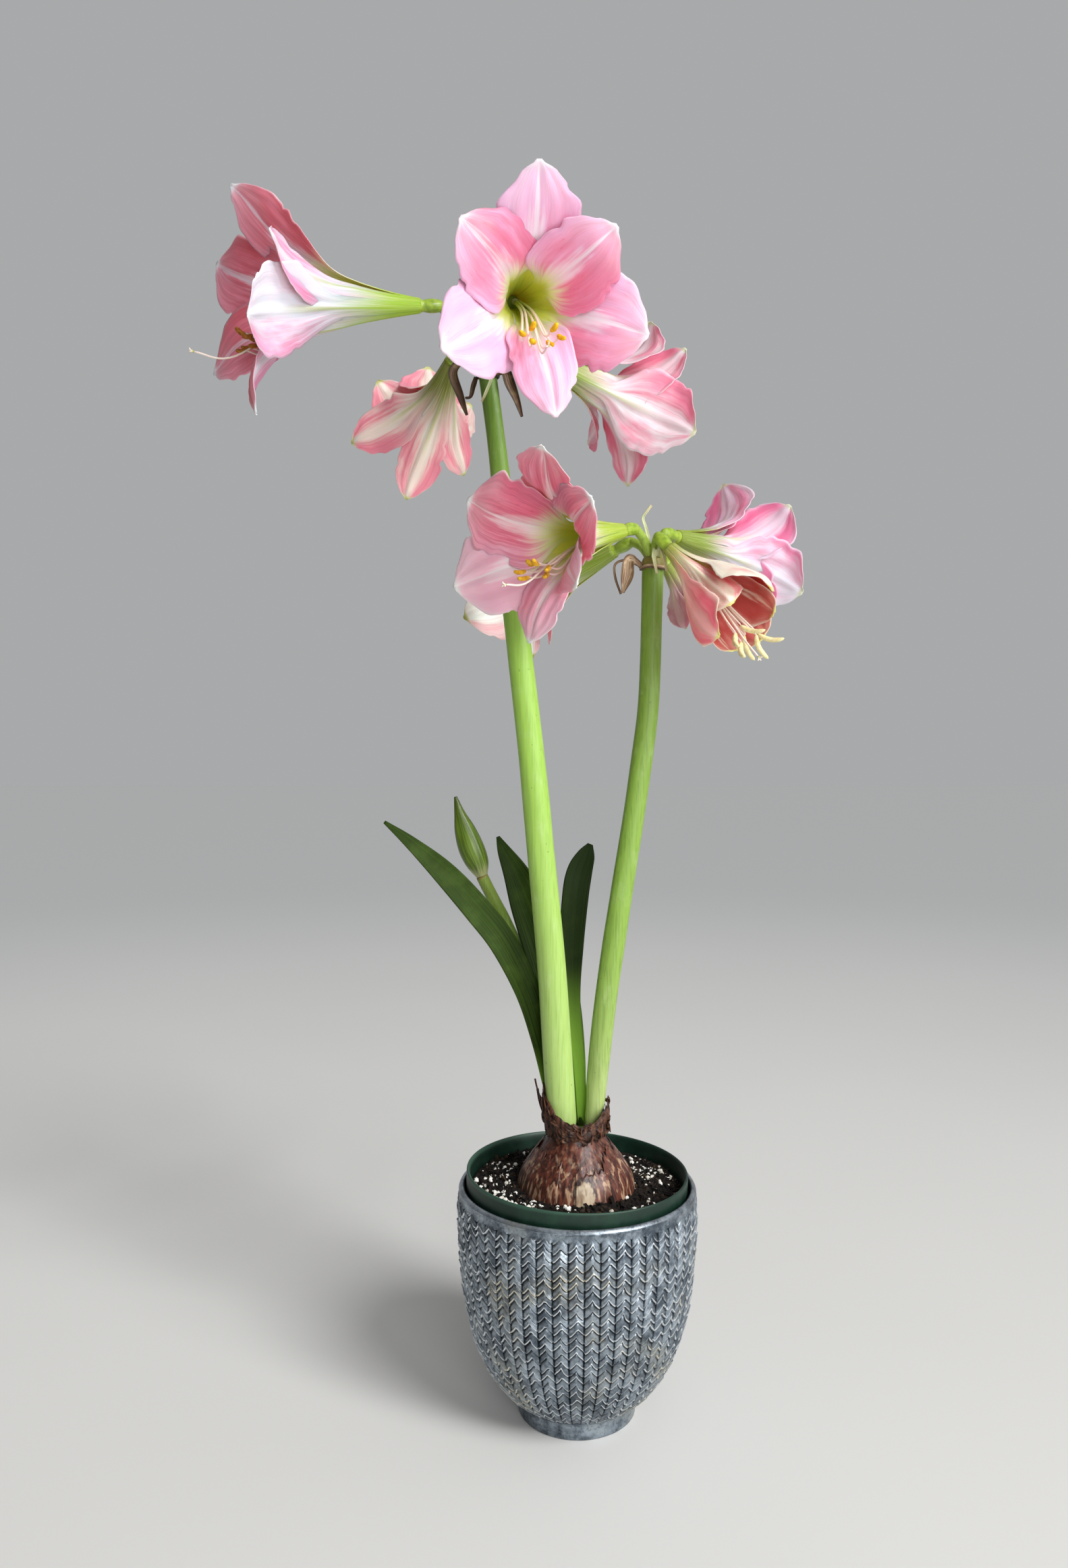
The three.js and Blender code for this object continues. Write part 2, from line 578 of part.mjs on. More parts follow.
// The floral tube passes through all six midribs; shift moves its wall in or out.
function tubeRing(bloom, s, shift) {
  const frame = bloomFrame(bloom);
  const base = vector(bloom.base);
  const ribs = bloom.tepals.map((_, index) => {
    const offset = midrib(bloom, index).curve.getPointAt(s).sub(base);
    const ahead = offset.dot(frame.axis);
    return { ahead, out: offset.addScaledVector(frame.axis, -ahead).length() };
  });
  const points = [];
  ribs.forEach((rib, index) => {
    const next = ribs[(index + 1) % ribs.length];
    const angle = (bloom.roll ?? 0) + 60 * index;
    points.push(frame.at(rib.ahead, rib.out + shift, angle));
    points.push(frame.at((rib.ahead + next.ahead) / 2, (rib.out + next.out) / 2 + shift, angle + 30));
  });
  return points;
}

function floralTube(bloom) {
  const { halfWall, rim, middle, floor } = TUBE;
  return loft([
    tubeRing(bloom, 0.002, halfWall), tubeRing(bloom, middle, halfWall), tubeRing(bloom, rim, halfWall),
    tubeRing(bloom, rim, -halfWall), tubeRing(bloom, floor, -halfWall)]);
}

const perianth = (bloom) => withoutPockets(
  join([floralTube(bloom), ...bloom.tepals.map((_, index) => tepal(bloom, index))]));

// Six filaments and the style lean to the low side of the mouth and lift at their ends.
// A filament swells into its anther there.
function filamentPath(bloom, reach, drop, angle, swells) {
  const frame = bloomFrame(bloom);
  const start = frame.at(reach * FILAMENT.start, 2 * FILAMENT.radius, angle);
  const rise = bloom.halfOpen ? 0 : FILAMENT.lift;
  const low = (amount) => frame.across(180).multiplyScalar(drop * amount);
  const fan = (amount) => frame.across(angle).multiplyScalar(amount);
  const middle = frame.at(reach * FILAMENT.middle, 0, 0).add(low(0.25)).add(fan(0.375 * FILAMENT.fan));
  const top = frame.at(reach, 0, 0).add(low(1.05 - rise)).add(fan(FILAMENT.fan));
  const row = (point, width) => [point.x, point.y, point.z, width];
  const path = [row(start, FILAMENT.radius), row(middle, FILAMENT.middleRadius), row(top, FILAMENT.radius)];
  if (swells) {
    const lengthwise = top.clone().sub(middle).normalize();
    const anther = bloom.halfOpen ? FILAMENT.longAnther : FILAMENT.antherLength;
    path.push(row(top.clone().addScaledVector(lengthwise, anther / 2), FILAMENT.antherRadius));
    path.push(row(top.clone().addScaledVector(lengthwise, anther), FILAMENT.radius));
  }
  return path;
}

function stamens(bloom) {
  const { reach, drop, style } = bloom.stamens;
  const frame = bloomFrame(bloom);
  const floor = Math.max(...bloom.tepals.map((_, index) => midrib(bloom, index).curve
    .getPointAt(TUBE.floor).sub(vector(bloom.base)).dot(frame.axis)));
  const row = (ahead, width) => [...frame.at(ahead, 0, 0).toArray(), width];
  const solids = [rod([row(floor + GAP, 2), row(floor + 5, 2.3)], 6, 1)];
  for (let index = 0; index < 6; index += 1) {
    const angle = (bloom.roll ?? 0) + 60 * index + 30;
    const shorter = reach - FILAMENT.stagger * (index % 3);
    solids.push(rod(filamentPath(bloom, shorter, drop, angle, true), 3, 4));
  }
  solids.push(rod(filamentPath(bloom, style, drop * 1.1, 180, false), 3, 3));
  return withoutPockets(join(solids));
}

// ---------------------------------------------------------------- stalks

function pedicelAndOvary(bloom, umbel) {
  const frame = bloomFrame(bloom);
  const bottom = frame.at(-OVARY.length, 0, 0);
  const start = vector(umbel);
  const bend = start.clone().lerp(bottom, 0.5).add(new THREE.Vector3(0, 0, 4));
  const row = (point, width) => [point.x, point.y, point.z, width];
  return rod([
    row(start, OVARY.pedicel), row(bend, OVARY.pedicel - 0.4), row(bottom, OVARY.pedicel + 0.2),
    row(frame.at(-OVARY.length / 2, 0, 0), OVARY.radius), row(frame.at(-GAP - 0.1, 0, 0), 4.4)], 6, 4);
}

function floweringStalk(path, umbel, blooms, bracteoles) {
  const [x, y, z, radius] = [...umbel, path.at(-1)[3]];
  const dome = rod([[x, y, z - 4, radius], [x, y, z + 1, radius], [x, y, z + 7.5, 4.2]], 9, 2);
  return withoutPockets(join([
    rod(path, 10, 8, 0.85), dome,
    ...blooms.map((bloom) => pedicelAndOvary(bloom, umbel)),
    ...bracteoles.map((curl) => rod(curl, 3, 4, 0.8)),
  ]));
}

// The dry spathe: a ring round the top of the stalk with torn blades hanging from it.
function drySpathe({ anchor, ringRadius, ringDrop, blades }) {
  const [x, y, z] = anchor;
  const cylinder = (radius, half) => turned(
    [[radius, z - ringDrop - half], [radius, z - ringDrop + half]], 10, [x, y]);
  const ring = cylinder(ringRadius + BRACT.ringWidth, BRACT.ringHalfHeight)
    .subtract(cylinder(ringRadius, 2 * BRACT.ringHalfHeight));
  return join([ring, ...blades.map((path) => strap(path, [0, -1, 0.2], 3, BRACT.thickness, 4, [-1, 0, 1]))]);
}

// ---------------------------------------------------------------- assembly

const group = new THREE.Group();
group.name = 'amaryllis_in_a_pot';

const leaning = new THREE.Group();
leaning.position.set(0, 0, GROWER.rimHeight);
leaning.rotation.y = degrees(GROWER.tilt);
leaning.add(growerPot());
group.add(coverPot(), leaning);
group.add(piece('soil', soil(), FINISH.potting));
group.add(piece('bulb', bulb(), FINISH.tunic));

const onUmbel = (name) => BLOOMS.filter((bloom) => bloom.umbel === name);
const tallStalk = floweringStalk(SCAPE_TALL, UMBEL_TALL, onUmbel('tall'), BRACTEOLES.tall);
const shortStalk = floweringStalk(SCAPE_SHORT, UMBEL_SHORT, onUmbel('short'), BRACTEOLES.short);
group.add(
  piece('scape_tall', tallStalk, FINISH.stalk),
  piece('scape_short', shortStalk, FINISH.stalk),
  piece('scape_young', rod(SCAPE_YOUNG, 8, 8), FINISH.stalk),
  piece('bud', rod(BUD, 8, 8, 0.7), FINISH.bud),
);
for (const [name, leaf] of Object.entries(LEAVES)) {
  const blade = strap(leaf.path, leaf.facing, leaf.fold, LEAF_THICKNESS, leaf.path.length + 1);
  group.add(piece(name, blade, FINISH.leaf));
}
for (const [name, bract] of Object.entries(DRY_BRACTS)) {
  group.add(piece(name, drySpathe(bract), FINISH.dryBract));
}
BLOOMS.forEach((bloom, index) => {
  group.add(
    piece(`bloom_${index + 1}`, perianth(bloom), bloom.halfOpen ? FINISH.paleBloom : FINISH.petal),
    piece(`stamens_${index + 1}`, stamens(bloom), FINISH.stamen),
  );
});

export default group;
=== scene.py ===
"""An amaryllis in a pot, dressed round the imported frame.

Lengths in this file are millimetres unless a name says otherwise; meshes are made in metres.
+X is right, +Y is away from the camera and +Z is up, as in the frame.
"""
import math
from collections import namedtuple

import bmesh
import bpy
import numpy as np
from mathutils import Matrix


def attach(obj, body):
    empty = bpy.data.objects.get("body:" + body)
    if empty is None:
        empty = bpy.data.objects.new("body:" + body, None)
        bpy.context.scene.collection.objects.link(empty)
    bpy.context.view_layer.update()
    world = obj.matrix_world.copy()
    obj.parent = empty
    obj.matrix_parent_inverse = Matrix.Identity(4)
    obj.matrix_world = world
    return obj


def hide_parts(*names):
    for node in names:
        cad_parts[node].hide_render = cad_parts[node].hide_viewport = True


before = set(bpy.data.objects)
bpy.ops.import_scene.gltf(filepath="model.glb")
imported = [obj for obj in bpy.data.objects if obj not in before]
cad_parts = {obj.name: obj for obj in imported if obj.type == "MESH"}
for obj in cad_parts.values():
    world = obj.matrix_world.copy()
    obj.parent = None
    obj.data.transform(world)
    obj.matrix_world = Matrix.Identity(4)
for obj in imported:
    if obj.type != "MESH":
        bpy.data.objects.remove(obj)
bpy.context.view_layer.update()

METRES = 0.001
X, Y, Z = np.eye(3)

# ---------------------------------------------------------------- driving sizes

BLADE = 1.0  # tepal thickness at its midrib
TIP = 0.985  # how far along its midrib a tepal reaches
TUBE_RADIUS = 4.8
SIXTH = 60  # degrees from one tepal to the next
TEPAL_GRID = (66, 27)  # points along and across a tepal
OVARY = {"length": 15, "radius": 5.4}

Bloom = namedtuple("Bloom", "base aim umbel stamens tepals roll half_open", defaults=(0, False))
Stamens = namedtuple("Stamens", "drop reach style")

# Each tepal holds turn, reach, spread, half width and tip angle.
BLOOMS = [
    Bloom((-47, -22, 812), (12, -18), "tall", Stamens(32, 112, 128), [
        (-6, 105, 77, 29, 88), (-14, 101, 64, 28, 88), (-15, 105, 75, 33, 88),
        (-11, 100, 76, 22, 88), (0, 105, 75, 33, 88), (6, 101, 69, 28, 88)]),
    Bloom((-115, -2, 817), (-74, -5), "tall", Stamens(36, 128, 162), [
        (-6, 126, 87, 20, 60), (9, 106, 70, 20, 80), (-5, 127, 80, 31, 80),
        (-18, 123, 90, 24, 105), (4, 147, 71, 30, 80), (6, 135, 100, 30, 80)]),
    Bloom((-94, 28, 788), (-162, -20), "tall", Stamens(24, 98, 112), [
        (-6, 92, 68, 24, 120), (-22, 92, 62, 24, 110), (-20, 100, 65, 22, 55),
        (-19, 95, 69, 18, 55), (-18, 100, 47, 17, 50), (8, 92, 54, 24, 100)]),
    Bloom((-24, 20, 786), (131, -10), "tall", Stamens(20, 108, 122), [
        (-14, 86, 66, 29, 130), (-20, 95, 70, 29, 80), (-18, 108, 66, 20, 80),
        (-12, 112, 62, 25, 80), (4, 114, 62, 32, 80), (20, 108, 60, 28, 80)]),
    Bloom((32, -12, 653), (-43, -14), "short", Stamens(19, 104, 130), [
        (25, 105, 70, 31, 85), (8, 100, 66, 27, 85), (9, 100, 47, 22, 85),
        (17, 95, 68, 20, 85), (16, 105, 78, 31, 85), (8, 100, 65, 33, 85)]),
    Bloom((29, 32, 646), (-120, -22), "short", Stamens(9, 102, 118), [
        (-5, 105, 60, 26, 78), (-4, 105, 50, 26, 78), (-20, 110, 62, 26, 78),
        (13, 100, 46, 24, 78), (-5, 97, 52, 20, 78), (0, 100, 62, 26, 78)]),
    Bloom((75, 18, 654), (136, -3), "short", Stamens(16, 104, 118), [
        (20, 88, 68, 27, 115), (5, 98, 64, 27, 85), (0, 102, 56, 27, 85),
        (4, 104, 56, 27, 85), (-4, 106, 56, 29, 85), (20, 100, 54, 27, 85)]),
    Bloom((66, -14, 640), (44, -42), "short", Stamens(4, 98, 112), [
        (12, 88, 29, 25, -12), (6, 90, 28, 24, -18), (-10, 92, 30, 24, -12),
        (-15, 93, 23, 24, -25), (10, 94, 26, 24, -25), (3, 82, 19, 22, -15)], 0, True),
    Bloom((68, 29, 636), (126, -44), "short", Stamens(1, 48, 56), [
        (0, 51, 20, 13, 25), (0, 50, 19, 12, 25), (0, 49, 21, 13, 25),
        (0, 50, 19, 12, 25), (0, 51, 20, 13, 25), (0, 50, 19, 12, 25)], 60),
]

UMBELS = {"tall": (-67, 8, 776), "short": (56, 8, 633)}

# Rows of x, y, z and the half width there.
SCAPES = {
    "tall": [
        (-10.3, -5, 212.6, 9.3), (-12, -5, 232, 10.9), (-19, -6, 334, 10.6), (-27, -6, 421, 10.1),
        (-34, -5, 491, 9.6), (-43, -3, 570, 9.2), (-52, 0, 649, 8.2), (-59, 4, 716, 6.8),
        (-67, 8, 776, 6.6)],
    "short": [
        (11.5, -4, 212.6, 6), (13.5, -4, 232, 7), (16, -4, 263, 8), (22, -5, 316, 8.2),
        (32, -4, 386, 8.2), (43, -2, 456, 8), (52, 1, 525, 7.8), (55, 5, 595, 7.8), (56, 8, 633, 8)],
    "young": [
        (-9, 11.2, 212.6, 3.3), (-15, 19, 250, 4.2), (-24, 27, 290, 4.5), (-37, 31, 324, 4.7),
        (-50, 30, 354, 4.8), (-63, 27, 380, 4.8), (-72, 24, 398.5, 4.6)],
}
BUD = [
    (-71.8, 24, 398.6, 4.4), (-75, 23, 408, 8.4), (-80, 23, 420, 9.6), (-85, 24, 434, 7.8),
    (-89, 24, 447, 4), (-92, 25, 459, 1.2)]

Leaf = namedtuple("Leaf", "facing fold path")
LEAVES = {
    "leaf_long_left": Leaf((0.15, -1, 0.35), 2.5, [
        (-12.5, 6, 213.4, 4.6), (-18, 7.5, 242, 7.5), (-26, 8, 277, 8.5), (-37, 8, 313, 9.5),
        (-55, 8, 349, 10.5), (-74, 8, 374, 10.6), (-99, 8, 402, 9), (-124, 8, 425, 5),
        (-144, 8, 441, 1.2)]),
    "leaf_centre": Leaf((0, -1, 0.12), 4, [
        (0.5, 9, 212.6, 5), (-3, 16, 255, 10), (-13, 22, 305, 15.5), (-24, 26, 346, 17),
        (-36, 28, 377, 14.5), (-46, 29, 400, 9.8), (-55, 30, 417, 5.2), (-60, 31, 428, 1.2)]),
    "leaf_right": Leaf((0, -1, 0.1), 2.5, [
        (5, 2.6, 212.6, 4.2), (1.6, 6, 257, 4.2), (-3.2, 9, 307, 5.9), (-3.8, 11, 348, 8.9),
        (-1.2, 13, 383, 9.9), (2, 15, 402, 9.6), (7, 16, 415, 6.8), (10.5, 17, 423.5, 2)]),
    "leaf_tip": Leaf((0, -1, 0.1), 0.6, [
        (2.5, -6, 212.2, 2.4), (2.6, -6, 217, 2.2), (2.2, -6, 222, 0.9)]),
}

Spathe = namedtuple("Spathe", "anchor ring_radius ring_drop blades")
SPATHES = {
    "spathe_tall": Spathe((-66.2, 7.6, 776), 7.6, 6, [
        [(-74.8, 6, 771, 2.2), (-84, 0, 777, 2.4), (-91, -3, 768, 3.2), (-86, -4, 752, 2.7),
         (-81, -4, 738, 0.9)],
        [(-74.6, 8, 769, 1.6), (-77, 9, 762, 1.8), (-79, 9, 755, 1.2), (-83, 9, 754, 0.8)],
        [(-58, 6, 771, 2.2), (-53, 3, 771, 3.4), (-50, 1, 762, 3.8), (-45, 0, 750, 2.5),
         (-41, 0, 738, 0.9)]]),
    "spathe_short": Spathe(UMBELS["short"], 8.8, 3.5, [
        [(46.6, 6, 630.5, 2.2), (42, 4, 634, 2.4), (37.5, 2, 634, 3.6), (36, 0, 622, 4.6), (33, -1, 610, 1)],
        [(46.9, 8, 630.5, 1), (36, 9, 635, 1), (28, 8, 632, 0.8), (28, 7, 622, 0.8), (32, 6, 610, 0.8)]]),
}
BRACTEOLES = {
    "tall": [
        [(-66, 6, 775, 1.4), (-62.6, -4.5, 775, 1.4), (-63, -7.5, 764, 1.2), (-67, -8, 753, 1),
         (-70, -7, 747, 0.8)]],
    "short": [
        [(55, 6, 634, 1.6), (53, 4, 647, 1.3), (50, 3, 658, 1.1), (48, 2, 665, 1), (51, 1, 670, 0.9),
         (54, 1, 674, 0.8)],
        [(56, 6, 634, 1.8), (56, -4, 641, 1.8), (55, -8, 635, 1.4), (57, -9, 623, 0.8)],
        [(59, 6, 634, 1.8), (60, -4, 643, 1.8), (62, -8, 637, 1.4), (64, -9, 625, 0.8)]],
}

COVER_SIDE = [
    (46.5, 13.5), (51.5, 17), (59.5, 25), (68.6, 38), (76.6, 55), (82.4, 75), (86, 95), (88, 115),
    (89.3, 135), (89.8, 150), (89.6, 160)]
GROWER = {"rim": 82.5, "top": 181.8, "height": 149.5, "base": 55, "wall": 1.6, "band": 15, "step": 1.8,
          "tilt": 1.3, "holes": 6, "hole_radius": 5, "hole_circle": 38}
POT_TOP = np.array([0, 0, GROWER["top"]])
SOIL_BELOW = 12.5
HOLE = 43.2  # radius of the mix's edge round the bulb
SOIL_EDGE = GROWER["rim"] - GROWER["step"] - GROWER["wall"] - 0.5
BULB_CENTRE = np.array([-1.0, -4.0, 0.0])
BULB_SIDE = [
    (12, 126), (28, 128.5), (39, 138), (43.6, 152), (44.2, 163), (42.8, 172), (39.4, 183), (32.8, 193),
    (26.4, 201), (20.6, 208.5)]

# ---------------------------------------------------------------- small maths


def unit(vectors):
    return vectors / np.maximum(np.linalg.norm(vectors, axis=-1, keepdims=True), 1e-9)


def smooth(low, high, value):
    t = np.clip((value - low) / (high - low), 0, 1)
    return t * t * (3 - 2 * t)


def mix(low, high, share):
    return low + (high - low) * share


def catmull(rows, t):
    """Points of a smooth curve through evenly spaced rows, at shares t from 0 to 1."""
    rows = np.asarray(rows, float)
    place = np.clip(t, 0, 1) * (len(rows) - 1)
    cell = np.minimum(place.astype(int), len(rows) - 2)
    u = (place - cell)[:, None]
    padded = np.concatenate([2 * rows[:1] - rows[1:2], rows, 2 * rows[-1:] - rows[-2:-1]])
    a, b, c, d = (padded[cell + i] for i in range(4))
    return 0.5 * (2 * b + (c - a) * u + (2 * a - 5 * b + 4 * c - d) * u ** 2
                  + (3 * b - a - 3 * c + d) * u ** 3)


def side_radius(side, height, steps):
    """The radius at a height of a round body, from rows of radius and height up its side."""
    radius, level = catmull(side, np.linspace(0, 1, steps)).T
    return np.interp(height, level, radius)


def grid(*parts):
    """Arrays of matching shapes, put together as x, y and z."""
    return np.stack(np.broadcast_arrays(*[np.asarray(part, float) for part in parts]), axis=-1)


def circle(count):
    """Angles spread evenly round a circle."""
    return np.linspace(0, 2 * np.pi, count, endpoint=False)


def polar(radius, angle, height):
    """Points by their radius, their angle from +X and their height."""
    return grid(radius * np.cos(angle), radius * np.sin(angle), height)


def beside(centres, across, wide, deep, high):
    """Rows of points round centres, wide along across and high along deep."""
    return centres[:, None] + across[:, None] * wide[..., None] + deep[:, None] * high[..., None]


def curve(path, steps):
    """Shares, centres and half widths along rows of x, y, z and half width."""
    t = np.linspace(0, 1, steps)
    rows = catmull(path, t)
    return t, rows[:, :3], rows[:, 3]


def tangents(points):
    return unit(np.gradient(points, axis=0))


def noise(points, seed=0):
    """Smooth repeatable noise from -1 to 1, with cells of size 1."""
    cell = np.floor(points).astype(np.int64)
    part = points - cell
    part = part * part * (3 - 2 * part)
    total = np.zeros(points.shape[:-1])
    for corner in np.ndindex(2, 2, 2):
        place = (cell + corner) * np.array([73856093, 19349663, 83492791])
        mixed = place[..., 0] ^ place[..., 1] ^ place[..., 2] ^ (seed * 97531 + 977)
        mixed = (mixed ^ (mixed >> 13)) * 1274126177
        value = ((mixed ^ (mixed >> 16)) & 0xFFFF) / 32767.5 - 1
        total += value * np.prod(np.where(corner, part, 1 - part), axis=-1)
    return total


def leaned(points):
    """Points given from the middle of the grower's rim, leaned with the pot and put in place."""
    x, y, z = np.moveaxis(points, -1, 0)
    lean = math.radians(GROWER["tilt"])
    return grid(x * math.cos(lean) + z * math.sin(lean), y, z * math.cos(lean) - x * math.sin(lean)) + POT_TOP


# ---------------------------------------------------------------- meshes


def quads(ids):
    return np.stack([ids[:-1, :-1], ids[:-1, 1:], ids[1:, 1:], ids[1:, :-1]], axis=-1).reshape(-1, 4)


def wrapped(ids):
    return np.concatenate([ids, ids[:, :1]], axis=1)


def border(ids):
    return np.concatenate([ids[0], ids[1:, -1], ids[-1, -2::-1], ids[-2:0:-1, 0]])


class Shape:
    """Closed skins, in millimetres, that together become one mesh.

    Each point carries run (along the piece), span (across it), seed, side and tint.
    """

    def __init__(self):
        self.points, self.facts, self.faces, self.smooth = [], [], [], []
        self.count = 0
        self.tint = 0.0

    def skin(self, points, facts, faces, smooth_shading=True):
        """Adds one closed skin and makes its faces point out."""
        volume = 0
        for group in faces:
            first = points[group[:, 0]]
            for corner in range(1, group.shape[1] - 1):
                second, third = points[group[:, corner]], points[group[:, corner + 1]]
                volume += np.sum(first * np.cross(second, third))
        for group in faces:
            self.faces.append((group if volume > 0 else group[:, ::-1]) + self.count)
            self.smooth.append(np.full(len(group), smooth_shading))
        self.points.append(points)
        facts = [np.broadcast_to(fact, len(points)) for fact in (*facts, self.tint)]
        self.facts.append(np.stack(facts, axis=-1))
        self.count += len(points)

    def blade(self, middle, thickness, run, span, seed, facing):
        """A thin solid round a grid of points; its face towards facing has side 1."""
        normals = unit(np.cross(np.gradient(middle, axis=1), np.gradient(middle, axis=0)))
        normals *= np.sign(np.sum(normals * facing)) or 1.0
        half = normals * (np.broadcast_to(thickness, middle.shape[:2]) / 2)[..., None]
        points = np.concatenate([(middle + half).reshape(-1, 3), (middle - half).reshape(-1, 3)])
        front = np.arange(middle.shape[0] * middle.shape[1]).reshape(middle.shape[:2])
        back = front + front.size
        upper, lower = border(front), border(back)
        rim = np.stack([np.roll(upper, -1), upper, lower, np.roll(lower, -1)], axis=-1)
        both = [np.tile(np.broadcast_to(fact, middle.shape[:2]).ravel(), 2) for fact in (run, span, seed)]
        side = np.repeat([1.0, 0.0], front.size)
        self.skin(points, [*both, side], [quads(front), quads(back)[:, ::-1], rim])

    def rings(self, points, run, seed=0.0, side=0.0):
        """A closed solid through rings of points, with flat ends."""
        rows, sides = points.shape[:2]
        ids = np.arange(rows * sides).reshape(rows, sides)
        faces = [quads(wrapped(ids)), ids[:1, ::-1], ids[-1:]]
        span = np.tile(np.linspace(0, 1, sides, endpoint=False), rows)
        side = np.broadcast_to(side, (rows, sides)).ravel()
        run = np.broadcast_to(np.reshape(run, (rows, -1)), (rows, sides)).ravel()
        self.skin(points.reshape(-1, 3), [run, span, seed, side], faces)

    def mesh(self, name, materials):
        points = np.concatenate(self.points) * METRES
        facts = np.concatenate(self.facts)
        corners = np.concatenate([group.ravel() for group in self.faces])
        sizes = np.concatenate([np.full(len(group), group.shape[1]) for group in self.faces])
        mesh = bpy.data.meshes.new(name)
        mesh.vertices.add(len(points))
        mesh.vertices.foreach_set("co", points.ravel().astype(np.float32))
        mesh.loops.add(len(corners))
        mesh.loops.foreach_set("vertex_index", corners.astype(np.int32))
        mesh.polygons.add(len(sizes))
        mesh.polygons.foreach_set("loop_start", (np.cumsum(sizes) - sizes).astype(np.int32))
        mesh.polygons.foreach_set("use_smooth", np.concatenate(self.smooth))
        for column, fact in enumerate(("run", "span", "seed", "side", "tint")):
            layer = mesh.attributes.new(fact, "FLOAT", "POINT")
            layer.data.foreach_set("value", facts[:, column].astype(np.float32))
        mesh.update(calc_edges=True)
        for material in materials:
            mesh.materials.append(material)
        return mesh


def place(name, shape, material, slot, *nodes):
    """Makes the shape an object that rides on the root and stands for the given nodes."""
    piece = bpy.data.objects.new(name, shape.mesh(name, [material]))
    bpy.context.collection.objects.link(piece)
    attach(piece, "root")
    if nodes:
        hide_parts(*nodes)
    return piece


def ring_points(centres, ahead, radius, sides, depth=1.0, reference=Y):
    """Oval rings round a curve; depth is their thickness over their width."""
    across = unit(np.cross(ahead, reference))
    deep = unit(np.cross(across, ahead))
    angle = circle(sides)
    radius = np.asarray(radius)
    radius = radius[:, None] if radius.ndim == 1 else radius
    return centres[:, None] + beside(np.zeros((1, 3)), across, radius * np.cos(angle),
                                     deep, radius * depth * np.sin(angle))


def rod(shape, path, steps, sides, seed=0.0, side=0.0, round_ends=True):
    """A smooth rod along rows of x, y, z and half width."""
    t, centres, radius = curve(path, steps)
    ahead = tangents(centres)
    if round_ends:
        reach = np.cumsum(np.r_[0, np.linalg.norm(np.diff(centres, axis=0), axis=1)])
        left = np.minimum(reach, reach[-1] - reach)
        radius = radius * np.sqrt(np.clip(0.15 + left / np.maximum(radius, 0.1), 0, 1))
    reference = X if np.abs(ahead[:, 1]).mean() > 0.7 else Y
    shape.rings(ring_points(centres, ahead, radius, sides, 1.0, reference), t, seed, side)


def strap(shape, path, facing, fold, thickness, steps, columns, seed=0.0, curl=0.0, wave=0.0):
    """A long thin blade along a path, its face turned to one side and folded along the middle."""
    t, centres, width = curve(path, steps)
    ahead = tangents(centres)
    side = unit(np.cross(ahead, np.asarray(facing, float)))
    up = unit(np.cross(side, ahead))
    q = np.linspace(-1, 1, columns)
    t, width = t[:, None], np.maximum(width, 0.4)[:, None]
    lift = (fold * width / 17) * q ** 2 + curl * (width * q ** 4)
    lift = lift + wave * width * q ** 2 * np.sin(t * 17 + np.sign(q) * 1.4 + seed * 9)
    middle = beside(centres, side, width * q, up, lift)
    shape.blade(middle, thickness * (1 - 0.55 * np.abs(q) ** 3), t, q, seed, up.mean(axis=0))


# ---------------------------------------------------------------- materials


def linear(code):
    """A colour written as a hexadecimal sRGB number, as linear red, green, blue, alpha."""
    values = [int(code[i:i + 2], 16) / 255 for i in (0, 2, 4)]
    return [v / 12.92 if v <= 0.04045 else ((v + 0.055) / 1.055) ** 2.4 for v in values] + [1.0]


class Value:
    """A number or a colour that a material's nodes work out; sums of it make more nodes."""

    def __init__(self, paint, socket):
        self.paint, self.socket = paint, socket

    def __add__(self, other):
        return self.paint.math("ADD", self, other)

    def __sub__(self, other):
        return self.paint.math("SUBTRACT", self, other)

    def __rsub__(self, other):
        return self.paint.math("SUBTRACT", other, self)

    def __mul__(self, other):
        return self.paint.math("MULTIPLY", self, other)

    def __abs__(self):
        return self.paint.math("ABSOLUTE", self)

    def rise(self, low, high):
        """0 up to low, 1 from high on, smooth between."""
        made = self.paint.node("MapRange", interpolation_type="SMOOTHSTEP")
        return self.paint.wired(made, (self, low, high, 0.0, 1.0))

    def fall(self, low, high):
        return 1.0 - self.rise(low, high)


